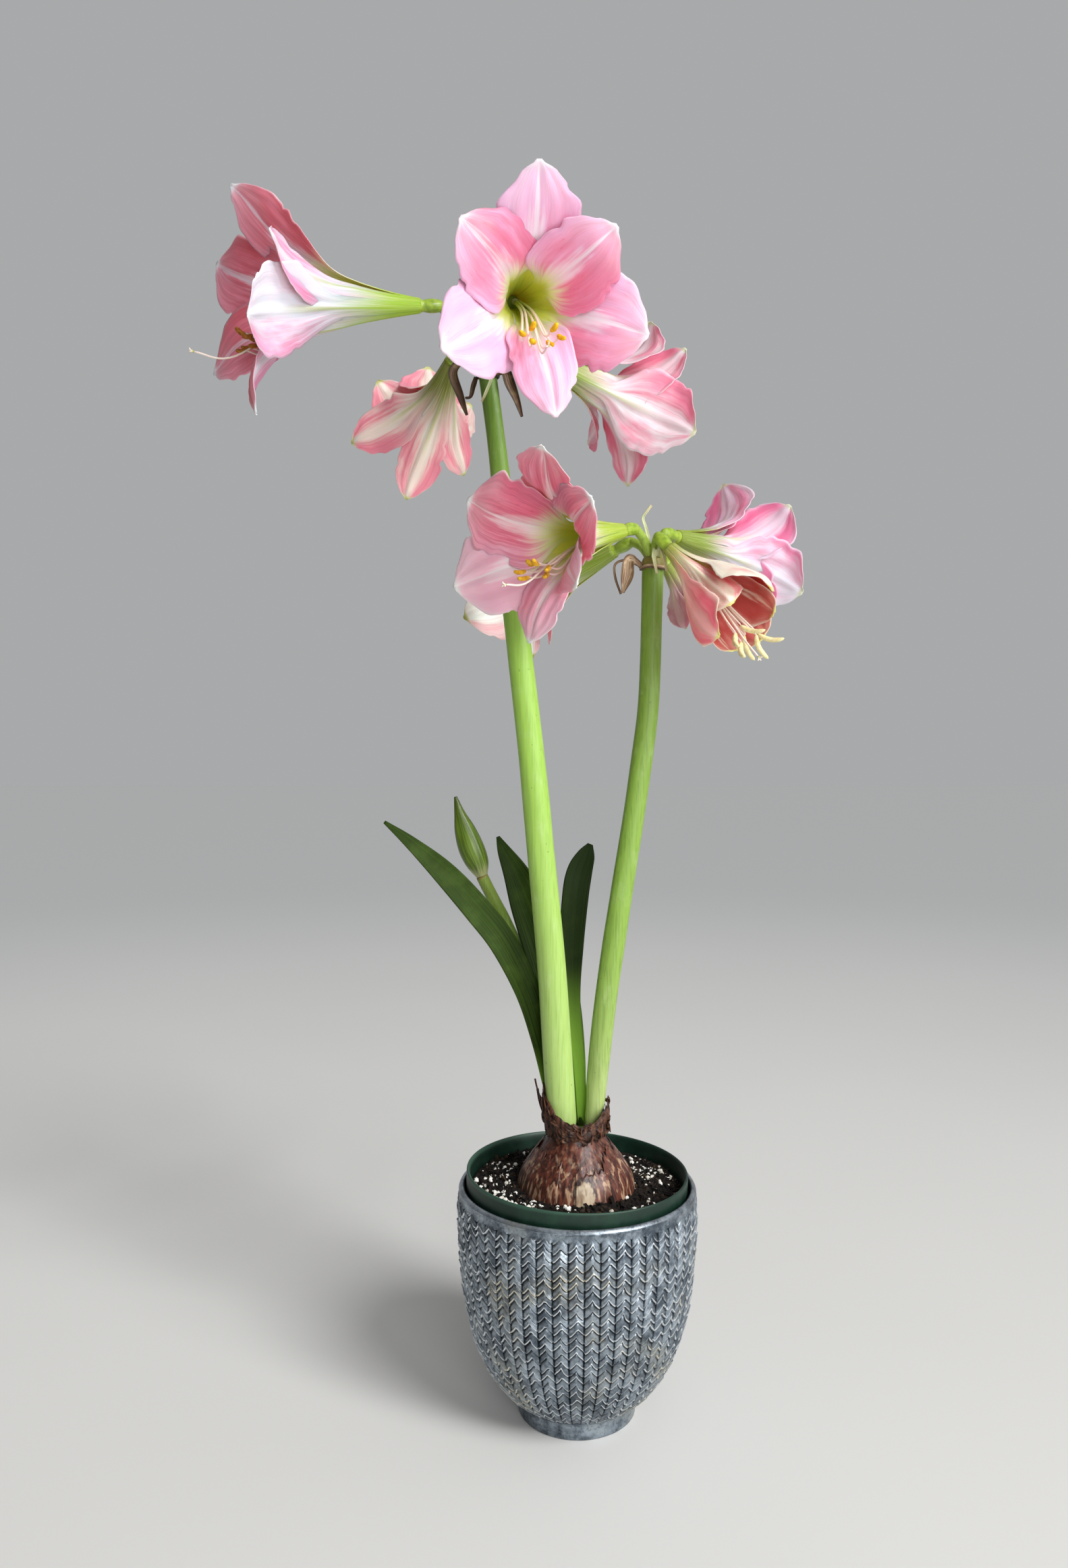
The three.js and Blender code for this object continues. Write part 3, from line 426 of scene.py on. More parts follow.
class Paint:
    """One procedural material, built node by node round a Principled shader."""

    def __init__(self, name, **sockets):
        self.material = bpy.data.materials.new(name)
        self.material.use_nodes = True
        self.tree = self.material.node_tree
        self.shader = self.tree.nodes["Principled BSDF"]
        for key, value in sockets.items():
            self.shader.inputs[key.replace("_", " ")].default_value = value

    def node(self, kind, **settings):
        made = self.tree.nodes.new("ShaderNode" + kind)
        for key, value in settings.items():
            setattr(made, key, value)
        return made

    def feed(self, socket, value):
        if isinstance(value, Value):
            self.tree.links.new(value.socket, socket)
        else:
            socket.default_value = linear(value) if isinstance(value, str) else value

    def wired(self, made, inputs, output=0):
        """An output of a node, after values are fed to its first inputs."""
        for socket, value in zip(made.inputs, inputs):
            self.feed(socket, value)
        return Value(self, made.outputs[output])

    def math(self, operation, *values):
        return self.wired(self.node("Math", operation=operation), values)

    def fact(self, name):
        return Value(self, self.node("Attribute", attribute_name=name).outputs["Fac"])

    def facts(self, names):
        return [self.fact(name) for name in names.split()]

    def position(self, scale=(1, 1, 1)):
        made = self.node("Mapping")
        made.inputs["Scale"].default_value = scale
        return self.wired(made, [Value(self, self.node("TexCoord").outputs["Object"])])

    def axis(self, index):
        """Metres along X, Y or Z."""
        return self.wired(self.node("SeparateXYZ"), [self.position()], index)

    def noise(self, vector, scale=1.0, detail=2.0, rough=0.5):
        made = self.node("TexNoise")
        for key, value in (("Vector", vector), ("Scale", scale), ("Detail", detail), ("Roughness", rough)):
            self.feed(made.inputs[key], value)
        return Value(self, made.outputs["Fac"])

    def grain(self, scale, detail=2.0, rough=0.5):
        """Noise fixed in space; scale is its cells in a metre, or those along X, Y and Z."""
        if isinstance(scale, tuple):
            return self.noise(self.position(scale), 1.0, detail, rough)
        return self.noise(self.position(), scale, detail, rough)

    def veins(self, x, y, z, detail=2.0):
        """Noise that follows the piece's own facts."""
        return self.noise(self.wired(self.node("CombineXYZ"), (x, y, z)), detail=detail)

    def blend(self, share, a, b):
        made = self.node("Mix", data_type="RGBA")
        for index, value in ((0, share), (6, a), (7, b)):
            self.feed(made.inputs[index], value)
        return Value(self, made.outputs[2])

    def layers(self, colour, *layers):
        """A colour with others laid over it in turn, each by its share."""
        for share, cover in layers:
            colour = self.blend(share, colour, cover)
        return colour

    def finish(self, colour, bumps=(), roughness=None):
        """Wires the colour, then bumps of (height, depth in mm, strength)."""
        self.feed(self.shader.inputs["Base Color"], colour)
        if roughness is not None:
            self.feed(self.shader.inputs["Roughness"], roughness)
        normal = None
        for height, depth, strength in bumps:
            made = self.node("Bump")
            for key, value in (("Strength", strength), ("Distance", depth * METRES), ("Height", height)):
                self.feed(made.inputs[key], value)
            if normal is not None:
                self.feed(made.inputs["Normal"], normal)
            normal = Value(self, made.outputs[0])
        if normal is not None:
            self.feed(self.shader.inputs["Normal"], normal)
        return self.material


# ---------------------------------------------------------------- blooms


# How far some blades turn about their own midribs, in degrees, by the bloom's base and the tepal.
FACED = {(BLOOMS[1].base, 0): 38, (BLOOMS[1].base, 5): 20}


class Axes:
    """A bloom's own frame: its axis, and two directions across it."""

    def __init__(self, bloom):
        azimuth, elevation = np.radians(bloom.aim)
        self.base = np.array(bloom.base, float)
        self.axis = np.array([
            math.sin(azimuth) * math.cos(elevation), -math.cos(azimuth) * math.cos(elevation),
            math.sin(elevation)])
        self.up = unit(Z - self.axis * self.axis[2])
        self.side = np.cross(self.up, self.axis)

    def across(self, degrees):
        angle = np.radians(np.asarray(degrees, float))[..., None]
        return np.cos(angle) * self.up + np.sin(angle) * self.side

    def at(self, ahead, out, degrees):
        ahead, out = np.asarray(ahead, float)[..., None], np.asarray(out, float)[..., None]
        return self.base + self.axis * ahead + self.across(degrees) * out


def bezier(corners, s):
    """Points and directions of a cubic curve at shares s of its length."""
    a, b, c, d = corners
    fine = np.linspace(0, 1, 400)[:, None]

    def point(t):
        return ((1 - t) ** 3 * a + 3 * (1 - t) ** 2 * t * b + 3 * (1 - t) * t ** 2 * c + t ** 3 * d)

    track = point(fine)
    length = np.cumsum(np.r_[0, np.linalg.norm(np.diff(track, axis=0), axis=1)])
    t = np.interp(s * length[-1], length, fine[:, 0])[:, None]
    ahead = 3 * (1 - t) ** 2 * (b - a) + 6 * (1 - t) * t * (c - b) + 3 * t ** 2 * (d - c)
    return point(t), unit(ahead)


def midrib(bloom, axes, index, s):
    turn, reach, spread, _, tip_angle = bloom.tepals[index]
    root_angle = bloom.roll + SIXTH * index
    root = axes.at(0, TUBE_RADIUS, root_angle)
    tip = axes.at(reach, spread, root_angle + turn)
    length = np.linalg.norm(tip - root)
    tilt = math.radians(tip_angle)
    at_tip = axes.axis * math.cos(tilt) + axes.across(root_angle + turn) * math.sin(tilt)
    rounder = 0.03 if bloom.half_open else 0.07
    first = root + axes.axis * 0.47 * length + axes.across(root_angle) * rounder * length
    second = tip - at_tip * (0.3 if bloom.half_open else 0.38) * length
    return bezier((root, first, second, tip), s)


def leaf_outline(s, half_open):
    """The half width of a tepal over its greatest half width, drawn out to a point at the tip."""
    blunt, sharp = (0.5, 0.75) if half_open else (0.6, 1.4)
    widest = sharp / (sharp + blunt)
    full = (s / widest) ** sharp * (np.clip(1 - s, 0, 1) / (1 - widest)) ** blunt
    return full * (1 - 0.3 * smooth(0.84, 0.96, s)) * (1 - 0.7 * smooth(0.945, 0.985, s))


def notches(s, side, seed):
    """How much of a tepal's edge is left beside a few small tears; side is -1 or 1."""
    draw = np.random.default_rng(int(seed * 6000) + (side > 0))
    left = np.ones_like(s)
    for _ in range(3):
        place, deep = draw.uniform(0.56, 0.93), draw.uniform(0.03, 0.13)
        left = left - deep * np.exp(-((s - place) / draw.uniform(0.012, 0.03)) ** 2)
    return left


def tepal_widths(bloom, index, s, radius):
    """Half widths along a tepal: joined to its neighbours in the tube, and free above it."""
    fuller = 1.2 if bloom.half_open else 1.0
    free = fuller * bloom.tepals[index][3] * leaf_outline(s, bloom.half_open)
    free = np.maximum(1.0, free + TUBE_RADIUS * 0.7 * (1 - s) ** 3)
    joined = np.pi * radius / 6 * 1.06
    if bloom.half_open:
        free = np.minimum(free, (2.1 if index == 0 else 1.45) * joined)
    return mix(np.minimum(free, joined), free, smooth(0.38, 0.62, s))


def tepal_bend(bloom, axes, index, s, ahead, radius):
    """How sharply a tepal curves round the bloom's axis, for each millimetre across it."""
    inner = index % 2
    flatter = 1.1 * smooth(0.5, 0.88, s) if inner else smooth(0.36, 0.66, s)
    if bloom.half_open:
        flatter = (-0.15 if inner else 0.08) * smooth(0.36, 0.66, s)
    bend = (ahead @ axes.axis) / radius * (1 - flatter)
    return np.where(np.abs(bend) < 1e-4, 1e-4, bend)


def ragged_edge(s, q, index, seed, tatter):
    """How far a tepal reaches at each point, as a share of its smooth outline."""
    torn = np.where(q > 0, notches(s, 1, seed), notches(s, -1, seed))
    coarse = noise(grid(s * 5.5, np.sign(q) * 3, index * 7 + seed * 40), 7)
    fine = noise(grid(s * 21, np.sign(q) * 3, index * 7 + seed * 40), 8)
    ragged = 1 + tatter * (0.12 * coarse + 0.045 * fine) * smooth(0.42, 0.6, s) * np.abs(q)
    return mix(ragged, ragged * torn, tatter * np.abs(q) ** 2)


def tepal(shape, bloom, axes, index, seed):
    """One petal-like tepal, channelled along its midrib, pleated and ruffled at its edges."""
    turn, _, _, half_width, _ = bloom.tepals[index]
    s = TIP * np.linspace(0, 1, TEPAL_GRID[0]) ** 0.92
    centre, ahead = midrib(bloom, axes, index, s)
    across = np.cross(axes.axis, axes.across(bloom.roll + SIXTH * index + turn * smooth(0, 0.8, s)))
    across = unit(across - ahead * np.sum(across * ahead, axis=1, keepdims=True))
    lean = np.radians(FACED.get((bloom.base, index), 0) * smooth(0.35, 0.8, s))[:, None]
    across = across * np.cos(lean) + np.cross(ahead, across) * np.sin(lean)
    inward = np.cross(ahead, across)
    offset = centre - axes.base
    radius = np.linalg.norm(offset - np.outer(offset @ axes.axis, axes.axis), axis=1)
    radius = np.maximum(radius, 1)
    half = tepal_widths(bloom, index, s, radius)[:, None]
    bend = tepal_bend(bloom, axes, index, s, ahead, radius)[:, None]

    s, q = s[:, None], np.linspace(-1, 1, TEPAL_GRID[1])[None]
    layer = 0.15 + 0.35 * smooth(0.05, 0.3, s) + 1.6 * smooth(0.34, 0.5, s) * (1 - smooth(0.85, 1, s))
    ragged = ragged_edge(s, q, index, seed, 0.25 if bloom.half_open else 1.0)
    angle = np.clip(bend * half * q * ragged, -2.6, 2.6)
    depth = (1 - np.cos(angle)) / bend + (layer if index % 2 else -layer)
    depth = depth + tepal_relief(s, q, half, half_width, index, seed)
    middle = beside(centre, across, np.sin(angle) / bend, inward, depth)
    thickness = BLADE * (1 - 0.66 * np.abs(q) ** 2.5) * mix(1.15, 0.75, s)
    shape.blade(middle, thickness, s, q, seed, inward.mean(axis=0))


def tepal_relief(s, q, half, half_width, index, seed):
    """How far the surface of a tepal stands inwards of its smooth form."""
    x = q * half
    opened = smooth(0.3, 0.55, s)
    tip = smooth(0.9, 1, s)
    channel = -1.0 * np.exp(-(x / 2.2) ** 2) * smooth(0.1, 0.4, s) * (1 - tip)
    ridges = 0.5 * np.exp(-((np.abs(x) - 4.2) / 2.4) ** 2) * opened * (1 - tip)
    drift = noise(grid(s * 3, index * 5 + seed * 30, 0), 4)
    pleats = 0.42 * np.cos(q * 15 + 2.5 * drift + index) * opened * (1 - smooth(0.82, 1, s)) * (1 - q ** 4)
    ruffle = 0.075 * half_width * smooth(0.4, 0.7, s) * (1 - 0.6 * tip)
    sway = noise(grid(s * 7.5, np.sign(q) * 2, index * 9 + seed * 50), 2)
    wave = ruffle * q ** 2 * (0.45 * np.sin(13.8 * s + np.sign(q) * 1.1 + index + seed * 3) + 1.1 * sway)
    crimp = noise(grid(s * 26, np.sign(q) * 2, index * 9 + seed * 50), 3)
    frill = 0.3 * ruffle * np.abs(q) ** 5 * crimp
    roll = -0.035 * half_width * np.abs(q) ** 5 * smooth(0.5, 0.75, s)
    swell = 0.8 * noise(grid(x / 12, s * 7, index * 3.7 + seed * 11), 5) * opened
    hook = 1.6 * smooth(0.93, 0.985, s)
    return channel + ridges + pleats + wave + frill + roll + swell + hook


# Pale to tip are sRGB colours, but for band and throat, the width of the white band and the reach of the
# green throat. Tints holds each tepal's depth of pink; veined, rim and ribbed are shares from 0 to 1.
BloomLook = namedtuple(
    "BloomLook", "pale strong deep white band throat back tube tip tints veined rim ribbed")
LOOKS = [
    BloomLook("FABCDC", "F080A0", "D65478", "FBF4F6", 0.42, 0.5, "F4B4D2", "A9C040", "FADFEA",
              (0.1, 0.55, 0.4, 0.2, 0.0, 0.65), 0.4, 0.97, 0.9),
    BloomLook("F49CB0", "D2606F", "AC4452", "E9E6F0", 0.34, 0.44, "F59CC4", "9CC02C", "F2EEF2",
              (0.5, 0.75, 0.25, 0.8, 0.5, 0.5), 0.8, 0.9, 0.9),
    BloomLook("F096A4", "DC6078", "B83E5A", "F0ECDC", 0.36, 0.48, "E98C9C", "767E20", "C8CC8A",
              (0.8, 0.7, 0.75, 0.8, 0.8, 0.6), 0.7, 0.95, 0.75),
    BloomLook("F49AB0", "DE5C78", "BE3A58", "F2EFF2", 0.4, 0.46, "F088A4", "8FA83A", "E4E4C4",
              (0.8, 0.8, 0.7, 0.9, 0.6, 0.8), 0.7, 0.92, 0.7),
    BloomLook("FCBACC", "EE7690", "C44866", "FCF5F3", 0.52, 0.52, "F096A8", "A4BC34", "FAF4F0",
              (0.85, 0.95, 0.3, 0.15, -0.35, 0.8), 0.8, 0.93, 0.8),
    BloomLook("EC96A4", "DC6078", "B83E5A", "F1EFE8", 0.5, 0.48, "F0C2C4", "88A032", "A8B060",
              (0.5, 0.6, 0.5, 0.5, 0.1, 0.2), 0.6, 0.95, 0.9),
    BloomLook("F4A4BC", "E66E92", "C44A6E", "E6E3EE", 0.46, 0.48, "F083AC", "7E9430", "E2E2C8",
              (0.7, 0.6, 0.3, 0.6, 0.2, 0.8), 0.6, 0.9, 0.7),
    BloomLook("E0827A", "C2544E", "A23C3A", "FBF4DE", 0.12, 0.32, "F67688", "98A236", "EEE48E",
              (0.3, 0.9, 0.9, 0.9, 0.8, 0.3), 0.3, 0.7, 0.35),
    # The ninth bloom, which hangs in shade behind the eighth, has its pinks dulled as painted shade.
    BloomLook("CC8090", "B05C70", "8C3A50", "E2D4CE", 0.3, 0.4, "C08090", "8E9A40", "B0B070",
              (0.8, 0.8, 0.8, 0.8, 0.8, 0.8), 0.5, 0.95, 0.4),
]


def petal_material(name, look):
    """Pink tepals with a white midrib band, fine veins, pale frills and a green throat."""
    paint = Paint(name, Roughness=0.4, Specular_IOR_Level=0.35, Subsurface_Weight=0.4,
                  Subsurface_Scale=0.003, Subsurface_Radius=(1.0, 0.45, 0.4))
    run, span, seed, side, tint = paint.facts("run span seed side tint")
    edge, ladder, throat = abs(span), seed * 17.0, look.throat
    fan = span * (1.25 - run * 0.5)
    fine = paint.veins(fan * 17.0, run * 3.4, ladder, 3)
    hair = paint.veins(fan * 60.0, run * 5.0, ladder)
    cloud = paint.veins(span * 2.6, run * 4.2, ladder, 3)
    crinkle = paint.veins(span * 15.0, run * 22.0, ladder, 3)
    finer, cloudier = fine - 0.5, cloud - 0.5
    veins = (fine * 0.6 + hair * 0.4).rise(0.44, 0.6)
    strength = tint + cloudier * 1.3 + span * -0.32
    spots = crinkle.rise(0.6, 0.72) * cloud.rise(0.5, 0.65)
    pink = paint.layers(
        paint.blend(strength.rise(0.0, 1.0), look.pale, look.strong),
        (veins * ((tint * 0.45 + 0.18) * look.veined), look.deep),
        (spots * (tint * 0.6), look.deep),
        ((run + cloudier * 0.4).rise(0.76, 1.05) * 0.3, look.white))

    shake = finer * 0.5 + cloudier * 0.5
    place = edge + shake
    taper = run.rise(0.3, 0.92)
    width = (1.0 - taper) * look.band + 0.07
    frill = (edge + cloudier * 0.3).rise(look.rim, 1.08) * run.rise(0.45, 0.7)
    margin = paint.math("MAXIMUM", frill, (run + finer * 0.1).rise(0.93, 1.0))
    depth = run + finer * 0.2 + edge * 0.05
    inner = paint.layers(
        pink,
        (place.fall(width * 0.1, width * 1.5) * (0.92 - taper * 0.5), look.white),
        (edge.fall(0.0, 0.05) * 0.35, look.white),
        (margin * 0.6, look.white),
        # The green throat: the throat's own lime colour, lifted lighter as painted light inside the deep,
        # shaded tube.
        (depth.fall(throat - 0.04, throat + 0.14), "EEF0C6"),
        (depth.fall(throat - 0.14, throat + 0.07) * 0.95, "DCE858"),
        (fine.rise(0.48, 0.62) * run.fall(0.2, 0.42) * 0.6, "AEC22E"),
        (depth.fall(0.04, 0.24), "D6E44E"))

    rib = edge.fall(0.02, 0.13) * run.fall(0.4, 0.8)
    stem = depth + (hair - 0.5) * 0.25
    outer = paint.layers(
        paint.blend(veins * (look.veined * 0.5), look.back, look.strong),
        (strength.fall(0.0, 0.75) * 0.85, look.white),
        (place.fall(0.08, 0.62) * look.ribbed, look.white),
        ((run + shake * 0.4).fall(0.4, 0.72) * (0.8 * look.ribbed), look.white),
        (margin * 0.75, look.white),
        (rib * (0.8 * look.ribbed), "B3BF62"),
        (stem.fall(throat - 0.3, throat + 0.06), look.tube),
        (fine.rise(0.5, 0.6) * run.fall(0.2, 0.5) * 0.35, "DDE69A"))
    colour = paint.layers(paint.blend(side, outer, inner), (run.rise(0.95, 0.975), look.tip))
    sparkle = paint.grain(900.0)
    return paint.finish(
        colour, [(fine, 0.45, 0.6), (hair, 0.2, 0.5), (crinkle, 0.25, 0.3), (sparkle, 0.1, 0.25)])


def bloom_piece(number):
    bloom, look = BLOOMS[number], LOOKS[number]
    axes = Axes(bloom)
    shape = Shape()
    for index in range(6):
        shape.tint = look.tints[index]
        tepal(shape, bloom, axes, index, seed=(number * 6 + index + 1) / 60)
    name = f"perianth_{number + 1}"
    slot = "petal_half_open" if bloom.half_open else "petal"
    return place(name, shape, petal_material(f"petal_finish_{number + 1}", look), slot, f"bloom_{number + 1}")


# ---------------------------------------------------------------- stamens and style


def filament_track(bloom, axes, reach, angle, drop):
    """Rows of a filament's path: it leans to the low side of the mouth and lifts at its end."""
    low = axes.across(180)
    turn = math.radians(angle)
    fan = axes.side * math.sin(turn) * 1.5 + axes.up * math.cos(turn) * 0.6
    start = axes.at(reach * 0.1, 1.2, angle)
    middle = axes.at(reach * 0.55, 0, 0) + low * drop * 0.3 + fan * 3
    sag, lift = (0.9, 1.05) if bloom.half_open else (0.84, 0.72)
    late = axes.at(reach * 0.84, 0, 0) + low * drop * sag + fan * 6.4
    top = axes.at(reach, 0, 0) + low * drop * lift + fan * 8
    return start, middle, late, top


def anther(shape, centre, lengthwise, bend_to, length, radius, seed):
    """A curved, grooved pollen sac, held at its middle."""
    t = np.linspace(-1, 1, 17)
    centres = centre + np.outer(t * length / 2, lengthwise) + np.outer((1 - t ** 2) * length * 0.13, -bend_to)
    thick = radius * np.sqrt(np.clip(1 - np.abs(t) ** 3.2, 0, 1)) + 0.12
    angle = circle(14)
    grooved = thick[:, None] * (1 - 0.22 * np.exp(-((np.cos(angle)) / 0.35) ** 2))
    ahead = tangents(centres)
    across = unit(np.cross(ahead, bend_to))
    deep = np.cross(across, ahead)
    points = beside(centres, across, grooved * np.cos(angle), deep, grooved * np.sin(angle))
    points = points + 0.14 * noise(points * 2.2, 3)[..., None] * unit(points - centres[:, None])
    shape.rings(points, (t + 1) / 2, seed, 1.0)


def stamen_shapes(number):
    """The filaments with the style and its stigma, and the anthers."""
    bloom = BLOOMS[number]
    axes = Axes(bloom)
    drop, reach, style = bloom.stamens
    threads, sacs = Shape(), Shape()
    foot = ((2.5, 2.0), (7, 2.3), (reach * 0.13, 1.6))
    rod(threads, [(*axes.at(ahead, 0, 0), radius) for ahead, radius in foot], 8, 12)
    length, splay, shift, radius = (19, 0.62, 0.45, 1.8) if bloom.half_open else (8.6, 0.5, 0.12, 1.65)
    for index in range(6):
        angle = bloom.roll + SIXTH * index + 30
        track = filament_track(bloom, axes, reach - 4 * (index % 3), angle, drop)
        rows = [(*point, width) for point, width in zip(track, (1.0, 0.9, 0.75, 0.5))]
        rod(threads, rows, 22, 8, index / 6)
        ahead = unit(track[3] - track[2])
        lengthwise = unit(ahead + splay * axes.across(angle + SIXTH * (index % 2)))
        bend_to = unit(np.cross(np.cross(lengthwise, axes.up), lengthwise) + 1e-3 * axes.side)
        anther(sacs, track[3] + lengthwise * (length * shift), lengthwise, bend_to, length, radius, index / 6)
    track = filament_track(bloom, axes, style, 180, drop * 1.1)
    rod(threads, [(*point, width) for point, width in zip(track, (0.95, 0.8, 0.7, 0.7))], 26, 8, 0.9)
    ahead = unit(track[3] - track[2])
    for lobe in range(3):
        out = axes.across(120 * lobe)
        rod(threads, [(*(track[3] - ahead), 0.6), (*(track[3] + ahead * 1.6 + out * 0.9), 0.55),
                      (*(track[3] + ahead * 2.2 + out * 2.4), 0.3)], 8, 8, 0.95)
    return threads, sacs


def filament_material():
    paint = Paint("filament_finish", Roughness=0.4, Subsurface_Weight=0.25, Subsurface_Scale=0.002)
    run, span, seed = paint.facts("run span seed")
    streak = paint.veins(run * 9.0, span, seed)
    place = run + (streak - 0.5) * 0.15
    colour = paint.layers(
        paint.blend(place.rise(0.1, 0.5), "B4BE58", "F3E4D2"), (place.rise(0.6, 1.0) * 0.4, "F7D3DC"))
    return paint.finish(colour, [(streak, 0.1, 0.3)])


def anther_material(name, pollen, shade):
    paint = Paint(name, Roughness=0.85, Specular_IOR_Level=0.25)
    grains, patches = paint.grain(2600.0, 3), paint.grain(420.0)
    colour = paint.blend((grains * 0.5 + patches * 0.5).rise(0.38, 0.62), shade, pollen)
    return paint.finish(colour, [(grains, 0.25, 0.8), (patches, 0.3, 0.4)])


# The pollen's light and dark colour in each bloom.
POLLEN = [
    ("FFCE2A", "DE9A12"), ("C98A3C", "8A4E1E"), ("E8B040", "B4701C"), ("E8B040", "B4701C"),
    ("F6C83C", "CC8E24"), ("E8B858", "B47A2C"), ("E8B858", "B47A2C"), ("FAF0C0", "EAD796"),
    ("F0D890", "D0A858")]


def stamen_pieces(number, threads_finish):
    threads, sacs = stamen_shapes(number)
    place(f"filaments_{number + 1}", threads, threads_finish, "stamen", f"stamens_{number + 1}")
    place(f"anthers_{number + 1}", sacs, anther_material(f"pollen_{number + 1}", *POLLEN[number]), "stamen")


# ---------------------------------------------------------------- stalks, ovaries and bracteoles


def stalk(shape, path, steps, sides, depth, ridges):
    """A fleshy stalk, faintly ridged along its length."""
    t, centres, width = curve(path, steps)
    angle = circle(sides)
    ribs = ridges * (np.cos(3 * angle + 0.4) * 0.6 + np.cos(11 * angle) * 0.25)[None]
    radius = width[:, None] + ribs + 0.28 * noise(polar(1.3, angle, t[:, None] * 16), 8)
    shape.rings(ring_points(centres, tangents(centres), radius, sides, depth), t)


def umbel_dome(shape, centre, radius):
    """The swollen top of a stalk, where the pedicels part."""
    x, y, z = centre
    rows = [(-5, 1), (-2, 1.06), (1, 1.06), (3.2, 0.95), (5, 0.75), (6.2, 0.5), (7, 0.2)]
    heights, widths = np.array(rows).T
    rings = ring_points(grid(x, y, z + heights), np.tile(Z, (len(rows), 1)), radius * widths, 36, 0.9)
    shape.rings(rings, np.ones(len(rows)))


def pedicel(shape, bloom, axes, seed):
    start = np.array(UMBELS[bloom.umbel], float)
    bottom = axes.at(-OVARY["length"], 0, 0)
    middle = (start + bottom) / 2 + Z * 4
    rod(shape, [(*start, 3.6), (*middle, 3.3), (*bottom, 3.6), (*axes.at(-OVARY["length"] + 3, 0, 0), 3.8)],
        20, 18, seed=seed, side=1.0, round_ends=False)


def ovary(shape, axes, seed):
    """A three-lobed green ovary under the floral tube."""
    length, radius = OVARY["length"], OVARY["radius"]
    t = np.linspace(0, 1, 26)
    swell = 3.5 + (radius - 4.0) * np.sin(np.pi * np.clip(t * 1.12, 0, 1)) ** 0.8
    swell[t > 0.75] = mix(swell, 4.7, smooth(0.75, 1, t))[t > 0.75]
    angle = circle(42)
    full = np.sin(np.pi * t)[:, None]
    lobes = 1 + 0.085 * np.cos(3 * angle)[None] * full
    lobes = lobes - 0.05 * np.exp(-(np.sin(1.5 * angle) / 0.12) ** 2)[None] * full
    centres = axes.at(mix(-length - 1, 0.4, t), np.zeros(26), np.zeros(26))
    wide = swell[:, None] * lobes
    points = beside(centres, axes.up[None], wide * np.cos(angle), axes.side[None], wide * np.sin(angle))
    shape.rings(points, t, seed)


def stalk_material(name, low, middle, high, shade):
    """Fresh green flesh with fine lengthwise streaks, a waxy bloom and a brown joint near its top."""
    paint = Paint(name, Roughness=0.44, Specular_IOR_Level=0.4, Subsurface_Weight=0.1,
                  Subsurface_Scale=0.003, Subsurface_Radius=(0.8, 1.0, 0.4))
    run, side = paint.facts("run side")
    streaks = paint.grain((900, 900, 34), 3)
    wax = paint.grain((130, 130, 60), 5, 0.62)
    colour = paint.layers(
        paint.blend(run.rise(0.0, 0.5), low, middle),
        (run.rise(0.5, 1.0), high),
        (run.rise(0.982, 0.998) * (1.0 - side) * 0.7, "8E7242"),
        (side * 0.9, "96B03C"),
        (streaks.rise(0.45, 0.7) * 0.4, shade),
        (wax.rise(0.5, 0.8) * 0.15, "DCE8C4"),
        (paint.grain(330.0, 1).rise(0.74, 0.78) * 0.5, "5C6A38"))
    return paint.finish(colour, [(streaks, 0.18, 0.35), (wax, 0.1, 0.25)])


def ovary_material():
    paint = Paint("ovary_finish", Roughness=0.32, Specular_IOR_Level=0.5, Subsurface_Weight=0.12,
                  Subsurface_Scale=0.003)
    patches = paint.grain(260.0, 4)
    colour = paint.layers(
        paint.blend(patches.rise(0.35, 0.65), "7C9828", "9AB43C"),
        (paint.fact("run").rise(0.75, 1.0) * 0.7, "A9BF48"))
    return paint.finish(colour, [(patches, 0.15, 0.3)])


def bracteole_material():
    paint = Paint("bracteole_finish", Roughness=0.6, Subsurface_Weight=0.2, Subsurface_Scale=0.002)
    run, span = paint.facts("run span")
    fibres = paint.veins(span * 14.0, run * 2.0, 0.0)
    colour = paint.layers(
        paint.blend(fibres.rise(0.35, 0.65), "A9B476", "DDE0B8"), (run.rise(0.6, 1.0) * 0.5, "B99A74"))
    return paint.finish(colour, [(fibres, 0.2, 0.5)])


def flowering_stalks():
    tall = stalk_material("stalk_tall_finish", "AFC878", "9CC454", "587828", "7FA23C")
    short = stalk_material("stalk_short_finish", "B0C27A", "86A846", "6C882C", "577228")
    ovaries = ovary_material()
    bracts = bracteole_material()
    for umbel, finish in (("tall", tall), ("short", short)):
        shape, pods, curls = Shape(), Shape(), Shape()
        path = SCAPES[umbel]
        stalk(shape, path, 150, 48, 0.86, 0.22)
        umbel_dome(shape, UMBELS[umbel], path[-1][3])
        for number, bloom in enumerate(BLOOMS):
            if bloom.umbel == umbel:
                axes = Axes(bloom)
                pedicel(shape, bloom, axes, number / 9)
                ovary(pods, axes, number / 9)
        for number, curl in enumerate(BRACTEOLES[umbel]):
            strap(curls, curl, (0, -1, 0.2), 8, 0.5, 34, 7, number / 5, wave=0.2)
        place(f"stalk_{umbel}", shape, finish, "flower_stalk", f"scape_{umbel}")
        place(f"ovaries_{umbel}", pods, ovaries, "flower_stalk")
        place(f"bracteoles_{umbel}", curls, bracts, "flower_stalk")


def young_stalk_and_bud():
    shape, bud = Shape(), Shape()
    stalk(shape, SCAPES["young"], 60, 32, 0.9, 0.1)
    finish = stalk_material("stalk_young_finish", "8FB04A", "6A8A2E", "7C9038", "4E6A22")
    place("stalk_young", shape, finish, "flower_stalk", "scape_young")
    t, centres, width = curve(BUD, 64)
    angle = circle(48)
    lapped = 1 - 0.07 * np.exp(-(np.sin(angle / 2 + 0.5) / 0.07) ** 2)
    lapped = lapped - 0.05 * np.exp(-(np.sin(angle / 2 + 2) / 0.07) ** 2)
    lapped = lapped * (1 + 0.018 * np.cos(14 * angle))
    radius = np.maximum(width, 0.5)[:, None] * lapped
    bud.rings(ring_points(centres, tangents(centres), radius, 48, 0.74), t)
    place("bud_spathe", bud, bud_material(), "bud_skin", "bud")


